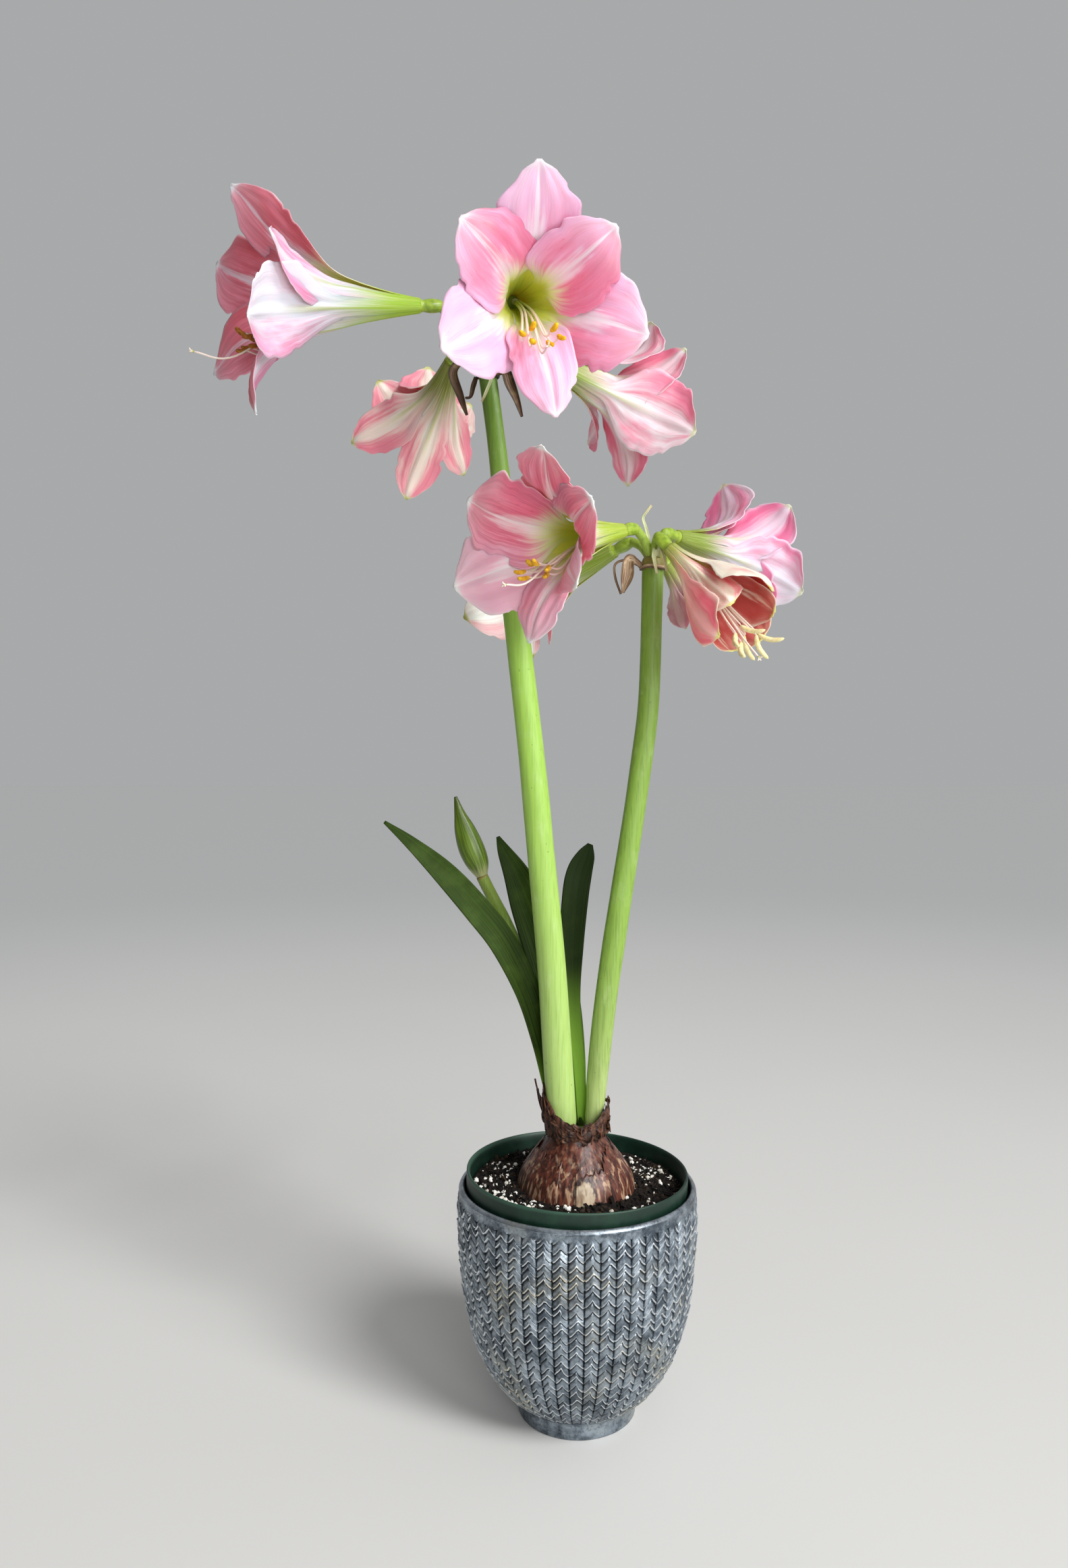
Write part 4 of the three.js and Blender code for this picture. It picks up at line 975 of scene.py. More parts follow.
def bud_material():
    paint = Paint("bud_finish", Roughness=0.34, Subsurface_Weight=0.1, Subsurface_Scale=0.003)
    run, span = paint.facts("run span")
    veins = paint.veins(span * 46.0, run * 3.0, 0.3)
    colour = paint.layers(
        paint.blend(veins.rise(0.4, 0.65), "5E7618", "42580E"),
        ((run + veins * 0.3).rise(0.7, 1.2) * 0.8, "33380F"),
        ((run + veins * 0.25).fall(0.12, 0.36) * 0.55, "C4C08E"))
    return paint.finish(colour, [(veins, 0.25, 0.5)])


# ---------------------------------------------------------------- leaves


def leaf_material():
    """Dark satin green with fine parallel veins, bright yellow-green at the base."""
    paint = Paint("leaf_finish", Roughness=0.5, Specular_IOR_Level=0.1)
    run, span, seed = paint.facts("run span seed")
    veins = paint.veins(span * 24.0, run * 1.4, seed, 3)
    blotch = paint.grain(60.0, 3)
    colour = paint.layers(
        paint.blend(veins.rise(0.38, 0.64), "1B2D06", "354B0D"),
        (blotch.rise(0.45, 0.7) * 0.3, "4B6222"),
        # Painted shade: the leaves after the long left one are darkened towards near black by their seed; the
        # centre and right leaves stand in shade behind the stalks.
        (seed.rise(0.1, 0.4) * 0.8, "0F1C03"),
        (run.fall(0.08, seed * 0.3 + 0.24) * 0.9, "94C446"))
    return paint.finish(colour, [(veins, 0.3, 0.5), (blotch, 0.3, 0.2)])


def leaves():
    finish = leaf_material()
    for number, (node, leaf) in enumerate(LEAVES.items()):
        shape = Shape()
        steps = 24 if node == "leaf_tip" else 110
        strap(shape, leaf.path, leaf.facing, leaf.fold, 1.9, steps, 25, number / 4, wave=0.03)
        place(node + "_blade", shape, finish, "leaf_blade", node)


# ---------------------------------------------------------------- dry spathes


def dry_material(name, dark, light, stained):
    paint = Paint(name, Roughness=0.55, Subsurface_Weight=0.1, Subsurface_Scale=0.001)
    run, span, seed = paint.facts("run span seed")
    fibres = paint.veins(span * 9.0, run * 1.6, seed * 5.0, 3)
    colour = paint.layers(
        paint.blend(fibres.rise(0.38, 0.6), dark, light),
        (paint.grain(160.0, 3).rise(0.5, 0.7) * 0.6, stained),
        (abs(span).rise(0.6, 0.95) * 0.7, dark))
    return paint.finish(colour, [(fibres, 0.4, 0.7)])


def dry_spathes():
    finishes = {
        "spathe_tall": dry_material("dry_dark_finish", "24160D", "6A4A2C", "7E6A3C"),
        "spathe_short": dry_material("dry_straw_finish", "4A2E1C", "B89A78", "D8C4A4")}
    for node, spathe in SPATHES.items():
        shape = Shape()
        x, y, z = spathe.anchor
        t, section = circle(40)[:, None], circle(8)
        radius = spathe.ring_radius + 0.6 + 0.6 * np.cos(section) + 0.25 * np.sin(5 * t)
        height = z - spathe.ring_drop + 1.6 * np.sin(section) + 0.5 * np.sin(3 * t + 1)
        ids = wrapped(np.arange(t.size * section.size).reshape(t.size, -1))
        ring = (polar(radius, t, height) + np.array([x, y, 0])).reshape(-1, 3)
        shape.skin(ring, [0.1, np.tile(section / 3, 40), 0.5, 0.0], [quads(np.concatenate([ids, ids[:1]]))])
        for number, path in enumerate(spathe.blades):
            strap(shape, path, (0, -1, 0.2), 6, 0.5, 40, 11, number / 3, curl=0.35, wave=0.14)
        place(node + "_papery", shape, finishes[node], "dry_bract", node)


# ---------------------------------------------------------------- bulb


TORN = ((176, 52, 20), (4, 34, 12), (95, 50, 8))  # highest torn skins: azimuth, half width and rise
TORN_FOOT = 225.0  # their height elsewhere


def torn_height(azimuth):
    """How high the torn skins stand round the neck, azimuth in degrees from +X."""
    total = np.full(np.shape(azimuth), TORN_FOOT)
    for centre, width, height in TORN:
        away = np.abs((azimuth - centre + 180) % 360 - 180)
        total = total + height * np.clip(1 - away / width, 0, 1)
    return total


def bulb_body(shape):
    """The bulb under its skins, fluted by the scales beneath, and its hollow neck."""
    neck = [(20.2, 212), (20.3, 216), (20.6, 219), (20.1, 219.3), (19.9, 215), (19.8, 212)]
    radius, height = np.concatenate([catmull(BULB_SIDE, np.linspace(0, 1, 70)), neck]).T[:, :, None]
    angle = circle(180)
    belly = smooth(128, 150, height) * (1 - smooth(196, 208, height))
    ridged = polar(9, angle, height / 40)
    flutes = (0.7 * noise(ridged, 2) + 0.35 * noise(ridged * 2.3, 4)) * belly
    full = radius + flutes + 0.8 * noise(polar(1.4, angle, height / 22), 6) * belly - 0.6 * belly
    shape.rings(polar(full, angle, height) + BULB_CENTRE, np.linspace(0, 1, len(radius)))


Tunic = namedtuple("Tunic", "middle width low high jag seed")
TUNICS = [
    Tunic(-150, 78, 158, 206, 9, 1), Tunic(-62, 60, 160, 199, 8, 2), Tunic(-20, 52, 156, 207, 6, 3),
    Tunic(60, 90, 158, 206, 7, 4), Tunic(150, 70, 158, 207, 8, 5)]


def loose_skin(shape, tunic):
    """A papery skin that wraps part of the bulb and ends above in a torn edge."""
    across = np.linspace(-1, 1, 60)
    azimuth = np.radians(np.linspace(tunic.middle - tunic.width / 2, tunic.middle + tunic.width / 2, 60))
    torn = 0.7 * noise(grid(azimuth * 7, 0, tunic.seed), 3)
    torn = torn + 0.3 * noise(grid(azimuth * 26, 0, tunic.seed), 9)
    top = tunic.high + tunic.jag * torn - tunic.jag * 0.6
    t = np.linspace(0, 1, 26)[:, None]
    height = mix(tunic.low, top, t)
    lift = 0.25 + 0.55 * t ** 3 + 0.25 * noise(grid(azimuth * 9, t * 3, tunic.seed), 5)
    points = polar(side_radius(BULB_SIDE, height, 70) + lift + 0.5, azimuth, height) + BULB_CENTRE
    middle = math.radians(tunic.middle)
    facing = np.array([math.cos(middle), math.sin(middle), 0.2])
    shape.blade(points, 0.35, t, across[None], tunic.seed / 7, facing)


def neck_shred(shape, draw, azimuth, sweep, top, radius, width, lean):
    """One torn strip of dry skin that climbs slantwise round the neck."""
    t = np.linspace(0, 1, 17)[:, None]
    q = np.linspace(-1, 1, 7)[None]
    start = 210 + 5 * draw.random()
    height = mix(start, top, t) + 0.2 * width * noise(grid(q * 2.4, t * 3, azimuth), 4) * t
    half = width / 2 * (1 - 0.75 * t ** 1.5) * (1 + 0.3 * np.sin(t * 9 + azimuth * 5))
    twist = draw.uniform(-0.9, 0.9) * t
    out = radius + lean * t ** 1.6 + 0.9 * np.sin(t * 6 + azimuth * 3) * t + q * half * np.sin(twist)
    out = out + 0.35 * np.cos(q * 5 + azimuth)
    slant = sweep * radius / (top - start)
    angle = azimuth + sweep * t + q * half * np.cos(twist) / np.hypot(1, slant) / radius
    height = height - q * half * np.cos(twist) * slant / np.hypot(1, slant)
    facing = np.array([math.cos(azimuth), math.sin(azimuth), 0.0])
    shape.blade(polar(out, angle, height) + BULB_CENTRE, 0.4, t, q, draw.random(), facing)


COLLAR_LAYERS = ((30, 20.7), (34, 21.2), (32, 21.8), (22, 22.4))  # strips and radius
# Azimuth in degrees, sweep, top and width of the long strips at the front.
FRONT_STRIPS = ((-118, -1.1, 240, 12), (-100, -1.25, 233, 12), (-136, -0.9, 246, 12), (-78, 0.8, 229, 9),
                (-56, 0.7, 234, 10), (-30, 0.5, 237, 9))
# Turn from the left, top and width of the strips that stand out there.
LEFT_STRIPS = ((0.0, 250, 7), (0.14, 243, 9), (-0.16, 241, 9), (0.32, 237, 8), (-0.36, 234, 8))


def neck_collar(shape):
    draw = np.random.default_rng(11)
    for layer, (count, radius) in enumerate(COLLAR_LAYERS):
        for index in range(count):
            azimuth = 2 * np.pi * (index + draw.uniform(-0.4, 0.4)) / count
            sweep = draw.uniform(-0.8, 0.8) * (1 + 0.5 * (layer > 1))
            top = torn_height(np.degrees(azimuth + sweep)) + draw.uniform(-7, 1.5) - 2.2 * layer
            width, lean = draw.uniform(3, 8), draw.uniform(-0.6, 2.2)
            neck_shred(shape, draw, azimuth, sweep, max(top, 214), radius, width, lean)
    for azimuth, sweep, top, width in FRONT_STRIPS:
        neck_shred(shape, draw, math.radians(azimuth), sweep, top, 23.0, width, 1.5)
    for turn, top, width in LEFT_STRIPS:
        azimuth = math.radians(181) + turn
        neck_shred(shape, draw, azimuth, -turn * 0.5, top, 22.6, width, 7.5 - 12 * abs(turn))


def curled_scraps(shape):
    """Short curled scraps that stick out of the collar."""
    draw = np.random.default_rng(5)
    for _ in range(74):
        azimuth = draw.uniform(0, 2 * np.pi)
        height = draw.uniform(212, torn_height(np.degrees(azimuth)) - 1)
        out = np.array([math.cos(azimuth), math.sin(azimuth), 0])
        along = np.array([-math.sin(azimuth), math.cos(azimuth), 0]) * draw.choice([-1, 1])
        start = BULB_CENTRE + out * 21.6 + Z * height
        reach = draw.uniform(4, 9)
        path = [(*start, 1.4), (*(start + out * 1.6 + along * reach * 0.4 + Z * draw.uniform(-1, 2)), 1.6),
                (*(start + out * 2.6 + along * reach * 0.8 + Z * draw.uniform(-2, 4)), 1.1),
                (*(start + out * draw.uniform(1, 4) + along * reach + Z * draw.uniform(-3, 5)), 0.4)]
        strap(shape, path, tuple(out), 8, 0.35, 14, 5, draw.random(), curl=0.3)


def tunic_material(name, light, dark, shine, tan=0.75):
    """Papery brown skin with lengthwise fibres, darker stains, one bare patch and tan streaks that are partly
    painted highlight.
    """
    paint = Paint(name, Roughness=shine, Specular_IOR_Level=0.45, Coat_Weight=0.05, Coat_Roughness=0.3)
    x, y, z = (paint.axis(index) for index in range(3))
    fibres = paint.grain((420, 420, 18), 4)
    streaks = paint.grain((330, 330, 13), 4)
    belly = z.rise(0.168, 0.174) * z.fall(0.191, 0.203)
    wide, tall = (x - 0.0035) * 130.0, (z - 0.1765) * 84.0
    ragged = paint.grain((240, 240, 240), 3) - 0.5
    away = paint.math("SQRT", wide * wide + tall * tall) + ragged * 0.9
    front = y.fall(-0.03, -0.02) * tan
    colour = paint.layers(
        paint.blend(fibres.rise(0.38, 0.62), dark, light),
        # Tan streaks, strongest round the belly: partly the skin's own fibres, partly painted highlight.
        (streaks.rise(0.5, 0.66) * (belly * 0.8 + 0.2) * tan, "C4A080"),
        (paint.grain((50, 50, 40), 4).rise(0.5, 0.68) * 0.6, "3F2017"),
        (streaks.fall(0.32, 0.4) * 0.5, "2C1610"),
        (z.fall(0.166, 0.172) * 0.6, "2A1C14"),
        (away.fall(1.05, 1.3) * z.rise(0.174, 0.18) * front, "1C0A0E"),
        (away.fall(0.8, 1.0) * front, paint.blend(fibres.rise(0.35, 0.6), "A08468", "CDBB9E")))
    return paint.finish(colour, [(fibres, 0.4, 0.5), (streaks, 0.8, 0.45)])


def bulb():
    body, skins, collar = Shape(), Shape(), Shape()
    bulb_body(body)
    for tunic in TUNICS:
        loose_skin(skins, tunic)
    neck_collar(collar)
    curled_scraps(collar)
    place("bulb_body", body, tunic_material("bulb_finish", "6A3828", "3C1F18", 0.4), "bulb_skin", "bulb")
    place("bulb_skins", skins, tunic_material("bulb_skin_finish", "663527", "3A1D16", 0.4), "bulb_skin")
    place("neck_collar", collar, tunic_material("collar_finish", "5E3620", "1C0F09", 0.68, 0.3), "bulb_skin")


# ---------------------------------------------------------------- potting mix

def soil_height(x, y):
    """The height of the potting mix over a point of the pot's plan."""
    out = np.hypot(x, y) / SOIL_EDGE
    place_noise = grid(x / 16, y / 16, 0.5)
    lumps = 1.6 * noise(place_noise, 1) + 0.9 * noise(place_noise * 3.1, 2) + 0.5 * noise(place_noise * 8, 3)
    lumps = lumps * (1 - 0.6 * smooth(0.93, 1, out))
    level = GROWER["top"] - SOIL_BELOW + 2.2 * (1 - smooth(0.55, 1, out)) + lumps
    return level - x * math.sin(math.radians(GROWER["tilt"]))


def soil_bed(shape):
    """The body of the mix: its top, its sides in the pot and the hollow that the bulb sits in."""
    around = circle(260)
    inner, outer = polar(HOLE, around, 0) + BULB_CENTRE, polar(SOIL_EDGE, around, 0)
    x, y, _ = np.moveaxis(mix(inner, outer, np.linspace(1, 0, 60)[:, None, None]), -1, 0)
    below = [leaned(polar(radius, around, -drop))
             for radius, drop in ((GROWER["base"] - 4.6, 147), (SOIL_EDGE - 4, 40), (SOIL_EDGE - 0.6, 20))]
    hollow = [polar(radius, around, height) + BULB_CENTRE
              for radius, height in ((44.9, 163), (44.2, 152), (39.4, 138), (28.4, 128.2), (12.4, 125.6))]
    points = np.concatenate([below, grid(x, y, soil_height(x, y)), hollow])
    shape.rings(points, np.linspace(0, 1, len(points)))


def small_ball():
    """The points and faces of a ball made of 80 triangles."""
    ball = bpy.data.meshes.new("grain")
    made = bmesh.new()
    bmesh.ops.create_icosphere(made, subdivisions=1, radius=1.0)
    made.to_mesh(ball)
    made.free()
    points = np.array([vertex.co for vertex in ball.vertices])
    faces = np.array([face.vertices for face in ball.polygons])
    bpy.data.meshes.remove(ball)
    return points, faces


def random_turn(draw):
    matrix, _ = np.linalg.qr(draw.normal(size=(3, 3)))
    return matrix


def scatter_places(draw, count, focus=None):
    """Places on the potting mix; focus gives azimuth, spread in degrees and a range of radius."""
    made = []
    while len(made) < count:
        if focus is None:
            angle, radius = draw.uniform(0, 2 * np.pi), SOIL_EDGE * math.sqrt(draw.uniform(0.22, 0.97))
        else:
            angle = math.radians(draw.normal(focus[0], focus[1]))
            radius = draw.uniform(focus[2], focus[3])
        x, y = radius * math.cos(angle), radius * math.sin(angle)
        if math.hypot(x - BULB_CENTRE[0], y - BULB_CENTRE[1]) > HOLE + 0.3 and radius < SOIL_EDGE - 1.5:
            made.append(np.array([x, y, soil_height(x, y)]))
    return made


def crumbs(shape, draw):
    points, faces = small_ball()
    for centre in scatter_places(draw, 1900):
        size = draw.uniform(0.6, 2.3) * np.array([1, draw.uniform(0.5, 1), draw.uniform(0.4, 0.9)])
        turned = (points * size * (1 + 0.3 * draw.random((len(points), 1)))) @ random_turn(draw)
        shape.skin(turned + centre, [0, 0, draw.random(), 0], [faces], False)


def bark_chips(shape, draw):
    corners = np.array([[x, y, z] for x in (-1, 1) for y in (-1, 1) for z in (-1, 1)], float)
    sides = np.array([[0, 1, 3, 2], [4, 6, 7, 5], [0, 4, 5, 1], [2, 3, 7, 6], [0, 2, 6, 4], [1, 5, 7, 3]])
    for centre in scatter_places(draw, 420):
        size = np.array([draw.uniform(1.5, 5), draw.uniform(0.6, 1.6), draw.uniform(0.3, 0.8)])
        lean = random_turn(draw)
        lean = unit(lean * np.array([1, 1, 0.45]))
        chip = (corners * size * (1 + 0.25 * draw.normal(size=(8, 1)))) @ lean
        shape.skin(chip + centre + Z * 0.4, [0, 0, draw.random(), 1], [sides], False)


# Number of grains and where: azimuth, spread in degrees and a range of radius.
DRIFTS = [(130, (-145, 17, 50, 77)), (50, (172, 16, 52, 76)), (92, (24, 22, 48, 76)),
          (26, (-30, 16, 58, 76)), (60, (90, 60, 52, 76)), (26, (-100, 20, 50, 74)), (90, None)]


def perlite(shape, draw):
    """White grains, most of them in drifts."""
    points, faces = small_ball()
    for count, focus in DRIFTS:
        for centre in scatter_places(draw, count, focus):
            size = 0.35 + 2.0 * draw.random() ** 2
            lumps = 1 + 0.28 * noise(points * 1.9 + draw.uniform(0, 50, 3), 2)[:, None]
            chunk = (points * lumps * size * np.array([1, 0.85, 0.75])) @ random_turn(draw)
            shape.skin(chunk + centre + Z * size * 0.35, [0, 0, draw.random(), 0], [faces], False)


def soil_material():
    paint = Paint("potting_mix_finish", Roughness=0.9, Specular_IOR_Level=0.3)
    peat, clumps = paint.grain(420.0, 5, 0.65), paint.grain(90.0, 3)
    colour = paint.layers(
        paint.blend(peat.rise(0.35, 0.68), "060403", "1A120D"),
        (clumps.rise(0.5, 0.7) * 0.4, "33271D"),
        (paint.fact("seed").rise(0.8, 1.0) * 0.45, "5A4430"))
    return paint.finish(colour, [(peat, 1.2, 0.9), (clumps, 1.0, 0.4)])


def perlite_material():
    paint = Paint("perlite_finish", Roughness=0.85)
    pits = paint.grain(700.0, 4)
    colour = paint.layers(
        paint.blend(pits.rise(0.3, 0.6), "D4CDBE", "FFFDF6"),
        (paint.fact("seed").rise(0.75, 0.9) * 0.5, "9C8B70"))
    return paint.finish(colour, [(pits, 0.5, 0.8)])


def potting_mix():
    draw = np.random.default_rng(3)
    bed, bits, grains = Shape(), Shape(), Shape()
    soil_bed(bed)
    crumbs(bits, draw)
    bark_chips(bits, draw)
    perlite(grains, draw)
    finish = soil_material()
    place("soil_bed", bed, finish, "potting_mix", "soil")
    place("soil_crumbs", bits, finish, "potting_mix")
    place("perlite", grains, perlite_material(), "potting_mix")


# ---------------------------------------------------------------- pots


def lathe(shape, profile, sides):
    """A solid turned about Z from rows of radius and height that run from the axis back to it."""
    radius, height = np.array(profile, float).T[:, :, None]
    shape.rings(polar(radius, circle(sides), height), np.linspace(0, 1, len(radius)))


def nursery_pot():
    rim, base, wall, band, low = (GROWER[key] for key in ("rim", "base", "wall", "band", "height"))
    body = rim - GROWER["step"]
    inner = body - 0.4
    shares = np.linspace(0, 1, 24)
    lip = [(max(rim - 0.9 + 0.9 * math.sin(a), inner - 0.2), -0.9 + 0.9 * math.cos(a))
           for a in np.radians(range(-60, 91, 15))]
    outside = [(rim - 0.02, -4), (rim, -band + 2), (rim - 0.5, -band + 0.4), (body + 0.2, -band),
               (body, -band - 0.6)]
    wall_down = [(mix(body, base, t), mix(-band - 1, -low + 3, t)) for t in shares]
    foot = [(base - 0.6, -low + 0.6), (base - 2, -low), (2, -low)]
    inside = [(2, -low + 2), (base - wall - 2, -low + 2), (base - wall, -low + 4)]
    wall_up = [(mix(base - wall, inner - wall + 0.4, t), mix(-low + 5, -band - 2, t)) for t in shares]
    top = [(inner - 0.6, -band + 1), (inner - 0.3, -6), (inner - 0.2, -1.6)]
    shape = Shape()
    lathe(shape, [*inside, *wall_up, *top, *lip, *outside, *wall_down, *foot], 144)
    shape.points = [leaned(points) for points in shape.points]
    drill_drain_holes(place("grower_pot", shape, grower_material(), "green_plastic", "nursery_pot"))


def drill_drain_holes(piece):
    """Cuts the drain holes in the floor of the grower's pot."""
    cutter_shape = Shape()
    for angle in circle(GROWER["holes"]):
        centre = np.array([math.cos(angle), math.sin(angle), 0]) * GROWER["hole_circle"]
        ends = centre + np.outer([-3.0, 6.0], Z) - Z * GROWER["height"]
        ring = ring_points(ends, np.tile(Z, (2, 1)), np.full(2, float(GROWER["hole_radius"])), 20)
        cutter_shape.rings(leaned(ring), [0, 1])
    cutter = bpy.data.objects.new("drain_cutter", cutter_shape.mesh("drain_cutter", []))
    bpy.context.collection.objects.link(cutter)
    cut = piece.modifiers.new("drain", "BOOLEAN")
    cut.operation, cut.solver, cut.object = "DIFFERENCE", "EXACT", cutter
    made = bpy.data.meshes.new_from_object(piece.evaluated_get(bpy.context.evaluated_depsgraph_get()))
    piece.modifiers.clear()
    piece.data = made
    bpy.data.objects.remove(cutter)


def grower_material():
    paint = Paint("green_plastic_finish", Roughness=0.5, Specular_IOR_Level=0.45)
    grime, fine = paint.grain(70.0, 5, 0.6), paint.grain(900.0)
    colour = paint.layers(
        paint.blend(grime.rise(0.4, 0.72), "09261B", "133526"),
        # Painted highlight: the top of the rim, above 179.5 mm, lightened to a pale green.
        (paint.axis(2).rise(0.1795, 0.1822) * 0.35, "4F7562"))
    return paint.finish(colour, [(fine, 0.08, 0.3)], grime * 0.25 + 0.38)


COVER_WALL = 5.5
COVER = {"columns": 50, "first": 14.2, "pitch": 6.45, "rows": 24, "belt_top": 168.6, "drop": 5.4,
         "lip": 1.2, "pillow": 0.7, "crevice": 0.7, "roof": 0.8, "groove": 0.5, "stagger": 1.5,
         "phase": -88.8, "sunk": 1.6, "widest": 90.3}


def cover_radius(height):
    return side_radius(COVER_SIDE, height, 200)


def chevron_rings():
    """The herringbone belt: leaf cells with raised lower lips that lean down to upright grooves."""
    half_steps = np.array([0, 0.07, 0.17, 0.42, 0.74])
    across = np.r_[half_steps / 2, [0.5], 1 - half_steps[1:][::-1] / 2]
    rows, columns = COVER["rows"], COVER["columns"]
    column = np.repeat(np.arange(columns), len(across))
    share = np.tile(across, columns)
    angle = np.radians(COVER["phase"]) + 2 * np.pi * (column + share) / columns
    from_groove = 1 - np.abs(2 * share - 1)
    steps = [0, 0.1, 0.2, 0.34, 0.62, 0.92]
    step = np.tile(steps, rows)[:, None]
    row = np.repeat(np.arange(rows), len(steps))[:, None]
    climb = row + step

    draw = np.random.default_rng(8)
    cell = (column * 2 + (share > 0.5))[None]
    size = draw.uniform(0.4, 1.35, (rows, columns * 2))[row, cell]
    shifts = COVER["stagger"] * draw.uniform(-1, 1, (rows + 1, columns * 2))
    stagger = mix(shifts[row, cell], shifts[row + 1, cell], smooth(0.3, 1, step))
    drift = 1.5 * noise(grid(column * 0.71, climb / 5, 4), 6)
    lean = COVER["drop"] * from_groove ** 1.5
    lean = lean + (stagger + drift) * smooth(0, 0.2, from_groove) * smooth(0, 1, climb)
    highest = COVER["belt_top"] + 0.02 * np.arange(len(row))[:, None] / len(row)
    height = np.minimum(COVER["first"] + climb * COVER["pitch"] + lean, highest)

    lip = smooth(0, 0.12, step) * (1 - smooth(0.2, 0.36, step))
    pillow = np.sin(np.pi * np.clip((step - 0.1) / 0.9, 0, 1)) ** 0.6
    crevice = np.maximum(1 - smooth(0, 0.1, step), smooth(0.86, 1, step))
    near_groove = np.exp(-(from_groove / 0.075) ** 2)[None]
    relief = (COVER["lip"] * lip * size + COVER["pillow"] * pillow) * (1 - near_groove)
    relief = relief - COVER["crevice"] * crevice - COVER["groove"] * near_groove
    belt = 1 - smooth(161.5, 165.5, height)
    roof = COVER["roof"] * (from_groove ** 0.8 - 0.6)[None] * belt
    radius = cover_radius(height) - COVER["sunk"] + relief * belt + roof
    radius = radius + 0.18 * noise(polar(30, angle, height / 3), 2)
    radius = np.minimum(radius, COVER["widest"] - 1.5 * smooth(164, 168.5, height))
    # Painted light and wear for the finish: bright on the lips as rubbed glaze and painted highlight, dark in
    # the crevices under them and in the grooves as pooled glaze and painted shadow.
    shade = 0.55 * lip * size - 0.55 * crevice - 0.5 * near_groove
    return angle, radius, height, np.clip(0.5 + shade * belt, 0, 1)


def cover_pot():
    angle, radius, height, relief = chevron_rings()
    wobble = 0.12 * np.sin(angle * 3 + 1) + 0.08 * np.sin(angle * 7)

    def rings(rows):
        radius, height = np.array(rows, float).T[:, :, None]
        return polar(radius + wobble * 0.5, angle, height)

    foot = [(2, 3), (36, 3), (39, 0.3), (40.5, 0), (43.2, 0), (44, 0.8), (44.1, 4), (43.9, 8), (43.7, 10.4),
            (44, 11.4), (45, 12.4)]
    lip = [(88.5, 168.9), (87.9, 170.2), (86.9, 171.5), (85.9, 172),
           (85.1, 171.8), (84.5, 171.1), (84, 169.5), (83.7, 166), (83.6, 160)]
    inside = [(cover_radius(z) - COVER_WALL, z) for z in (140, 120, 100, 80, 60, 45, 34, 27)]
    inside += [(47, 21), (40, 20), (2, 20)]
    points = np.concatenate([rings(foot), polar(radius, angle, height), rings(lip), rings(inside)])
    side = np.full(points.shape[:2], 0.5)
    above = len(foot) + len(relief)
    side[len(foot):above] = relief
    # The top of the rim is set part bright, so the finish silvers it a little, as wear and painted highlight.
    side[above + 1:above + 5] = 0.72
    shape = Shape()
    shape.rings(points, np.linspace(0, 1, len(points)), side=side)
    # The rows inside the pot and on the inner side of its lip get tint 0, which the pewter finish paints near
    # black as painted shade.
    painted_shade_rows = len(inside) + 3
    shape.facts[0][:, 4] = np.repeat(np.arange(len(points)) < len(points) - painted_shade_rows, len(angle))
    place("cover_pot", shape, pewter_material(), "pewter_glaze", "cachepot")


def pewter_material():
    """Blue-grey metallic glaze, darker in the grooves and in the crevices under the lips, partly pooled glaze
    and partly painted shadow; rubbed silver and gold on the raised edges, partly wear and partly painted
    highlight; the inside painted near black as shade.
    """
    paint = Paint("pewter_finish", Metallic=0.8, Roughness=0.34)
    relief, outside = paint.facts("side tint")
    mottle, pitted, warm = paint.grain(62.0, 6, 0.7), paint.grain(420.0, 4, 0.65), paint.grain(30.0, 3)
    colour = paint.layers(
        paint.blend(mottle.rise(0.34, 0.66), "4F5963", "A4B0BA"),
        (warm.rise(0.5, 0.7) * 0.3, "8D8772"),
        (pitted.rise(0.5, 0.72) * 0.6, "2E343A"),
        # Rubbed silver and gold on the raised lips, partly wear and partly painted highlight.
        ((relief + pitted * 0.3).rise(0.8, 1.1) * 0.9,
         paint.blend(warm.rise(0.54, 0.7), "EEF3F6", "EAE0C6")),
        # Near black in the crevices under the lips and in the grooves, partly pooled glaze and partly painted
        # shadow.
        ((relief + pitted * 0.15).fall(0.18, 0.56) * 0.94, "0B0D10"),
        # Painted shade: the inside of the pot and the inner side of its lip, near black.
        (outside.fall(0.4, 0.6) * 0.85, "15181B"))
    return paint.finish(colour, [(pitted, 0.2, 0.45), (mottle, 0.4, 0.2)], pitted * 0.3 + 0.22)


# ---------------------------------------------------------------- stage, light and camera


FLOOR_REACH = 12.0  # metres
FLOOR_FAR = "BCBDBD"  # its colour far away, where it meets the backdrop


def floor():
    mesh = bpy.data.meshes.new("floor")
    corners = [(FLOOR_REACH * x, FLOOR_REACH * y, 0) for x, y in ((-1, -1), (1, -1), (1, 1), (-1, 1))]
    mesh.from_pydata(corners, [], [(0, 1, 2, 3)])
    paint = Paint("floor_finish", Roughness=0.8)
    away = paint.wired(paint.node("VectorMath", operation="LENGTH"), [paint.position()], "Value")
    near = paint.blend(paint.grain(1.5), "D6D5D2", "DEDDDA")
    mesh.materials.append(paint.finish(paint.blend(away.rise(0.2, 3.2), near, FLOOR_FAR)))
    piece = bpy.data.objects.new("floor", mesh)
    bpy.context.collection.objects.link(piece)


def aim(light, place, target):
    light.location = place
    away = np.array(place, float) - np.array(target, float)
    light.rotation_euler = (math.acos(away[2] / np.linalg.norm(away)), 0, math.atan2(away[0], -away[1]))
    bpy.context.collection.objects.link(light)


def area_light(name, place, target, size, power, colour=(1, 1, 1)):
    data = bpy.data.lights.new(name, "AREA")
    data.shape, data.size, data.energy, data.color = "SQUARE", size, power, colour
    aim(bpy.data.objects.new(name, data), place, target)


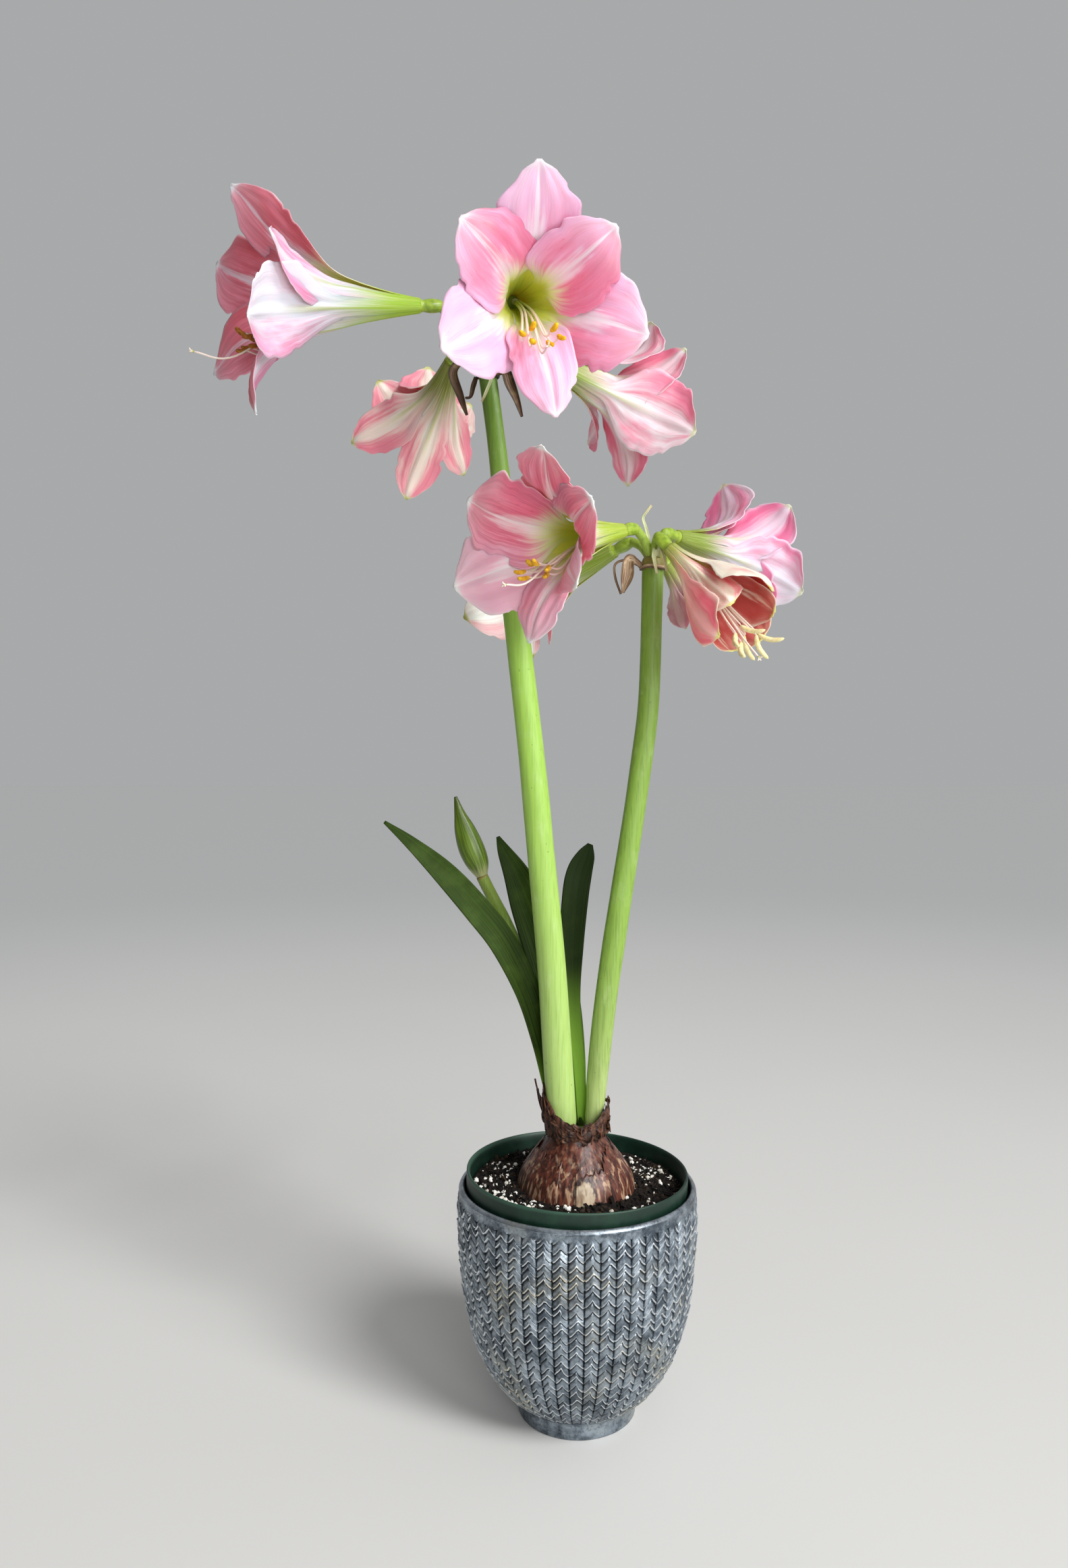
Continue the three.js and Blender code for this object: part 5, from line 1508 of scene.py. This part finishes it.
def sun_light(name, place, strength, spread):
    data = bpy.data.lights.new(name, "SUN")
    data.energy, data.angle = strength, math.radians(spread)
    aim(bpy.data.objects.new(name, data), place, (0, 0, 0))


SKY = (0.72, 0.73, 0.74, 1)
BRIGHT_SIDE = (0.89, 0.45, 0)  # the direction from which the sky is brightest
SKY_RAMP = (-0.85, 0.0, 0.08, 0.545)  # where it starts and ends, and the strengths there


def studio():
    world = bpy.data.worlds.new("studio")
    bpy.context.scene.world = world
    world.use_nodes = True
    tree = world.node_tree
    tree.nodes["Background"].inputs[0].default_value = SKY
    toward = tree.nodes.new("ShaderNodeVectorMath")
    toward.operation = "DOT_PRODUCT"
    toward.inputs[1].default_value = BRIGHT_SIDE
    tree.links.new(tree.nodes.new("ShaderNodeTexCoord").outputs["Generated"], toward.inputs[0])
    strength = tree.nodes.new("ShaderNodeMapRange")
    for socket, value in zip(list(strength.inputs)[1:5], SKY_RAMP):
        socket.default_value = value
    tree.links.new(toward.outputs["Value"], strength.inputs[0])
    tree.links.new(strength.outputs[0], tree.nodes["Background"].inputs[1])
    sun_light("daylight", (1.5, -1.5, 1.9), 2.15, 24)
    area_light("window", (1.6, -1.3, 1.0), (-0.03, 0, 0.35), 0.45, 15)
    area_light("front", (0.5, -2.0, 0.8), (-0.03, 0, 0.6), 0.8, 15)
    bpy.context.scene.view_settings.view_transform = "Standard"


CAMERA = {"place": (-32.2, -836.9, 501.5), "down": 0.0381, "lens": 26}


def camera():
    data = bpy.data.cameras.new("camera")
    data.lens, data.sensor_width, data.sensor_fit = CAMERA["lens"], 36, "AUTO"
    eye = bpy.data.objects.new("camera", data)
    eye.location = np.array(CAMERA["place"]) * METRES
    eye.rotation_euler = (math.pi / 2 - CAMERA["down"], 0, 0)
    bpy.context.collection.objects.link(eye)
    bpy.context.scene.camera = eye


# ---------------------------------------------------------------- the whole

camera()
studio()
floor()
cover_pot()
nursery_pot()
potting_mix()
bulb()
flowering_stalks()
young_stalk_and_bud()
leaves()
dry_spathes()
filaments = filament_material()
for bloom_number in range(len(BLOOMS)):
    bloom_piece(bloom_number)
    stamen_pieces(bloom_number, filaments)
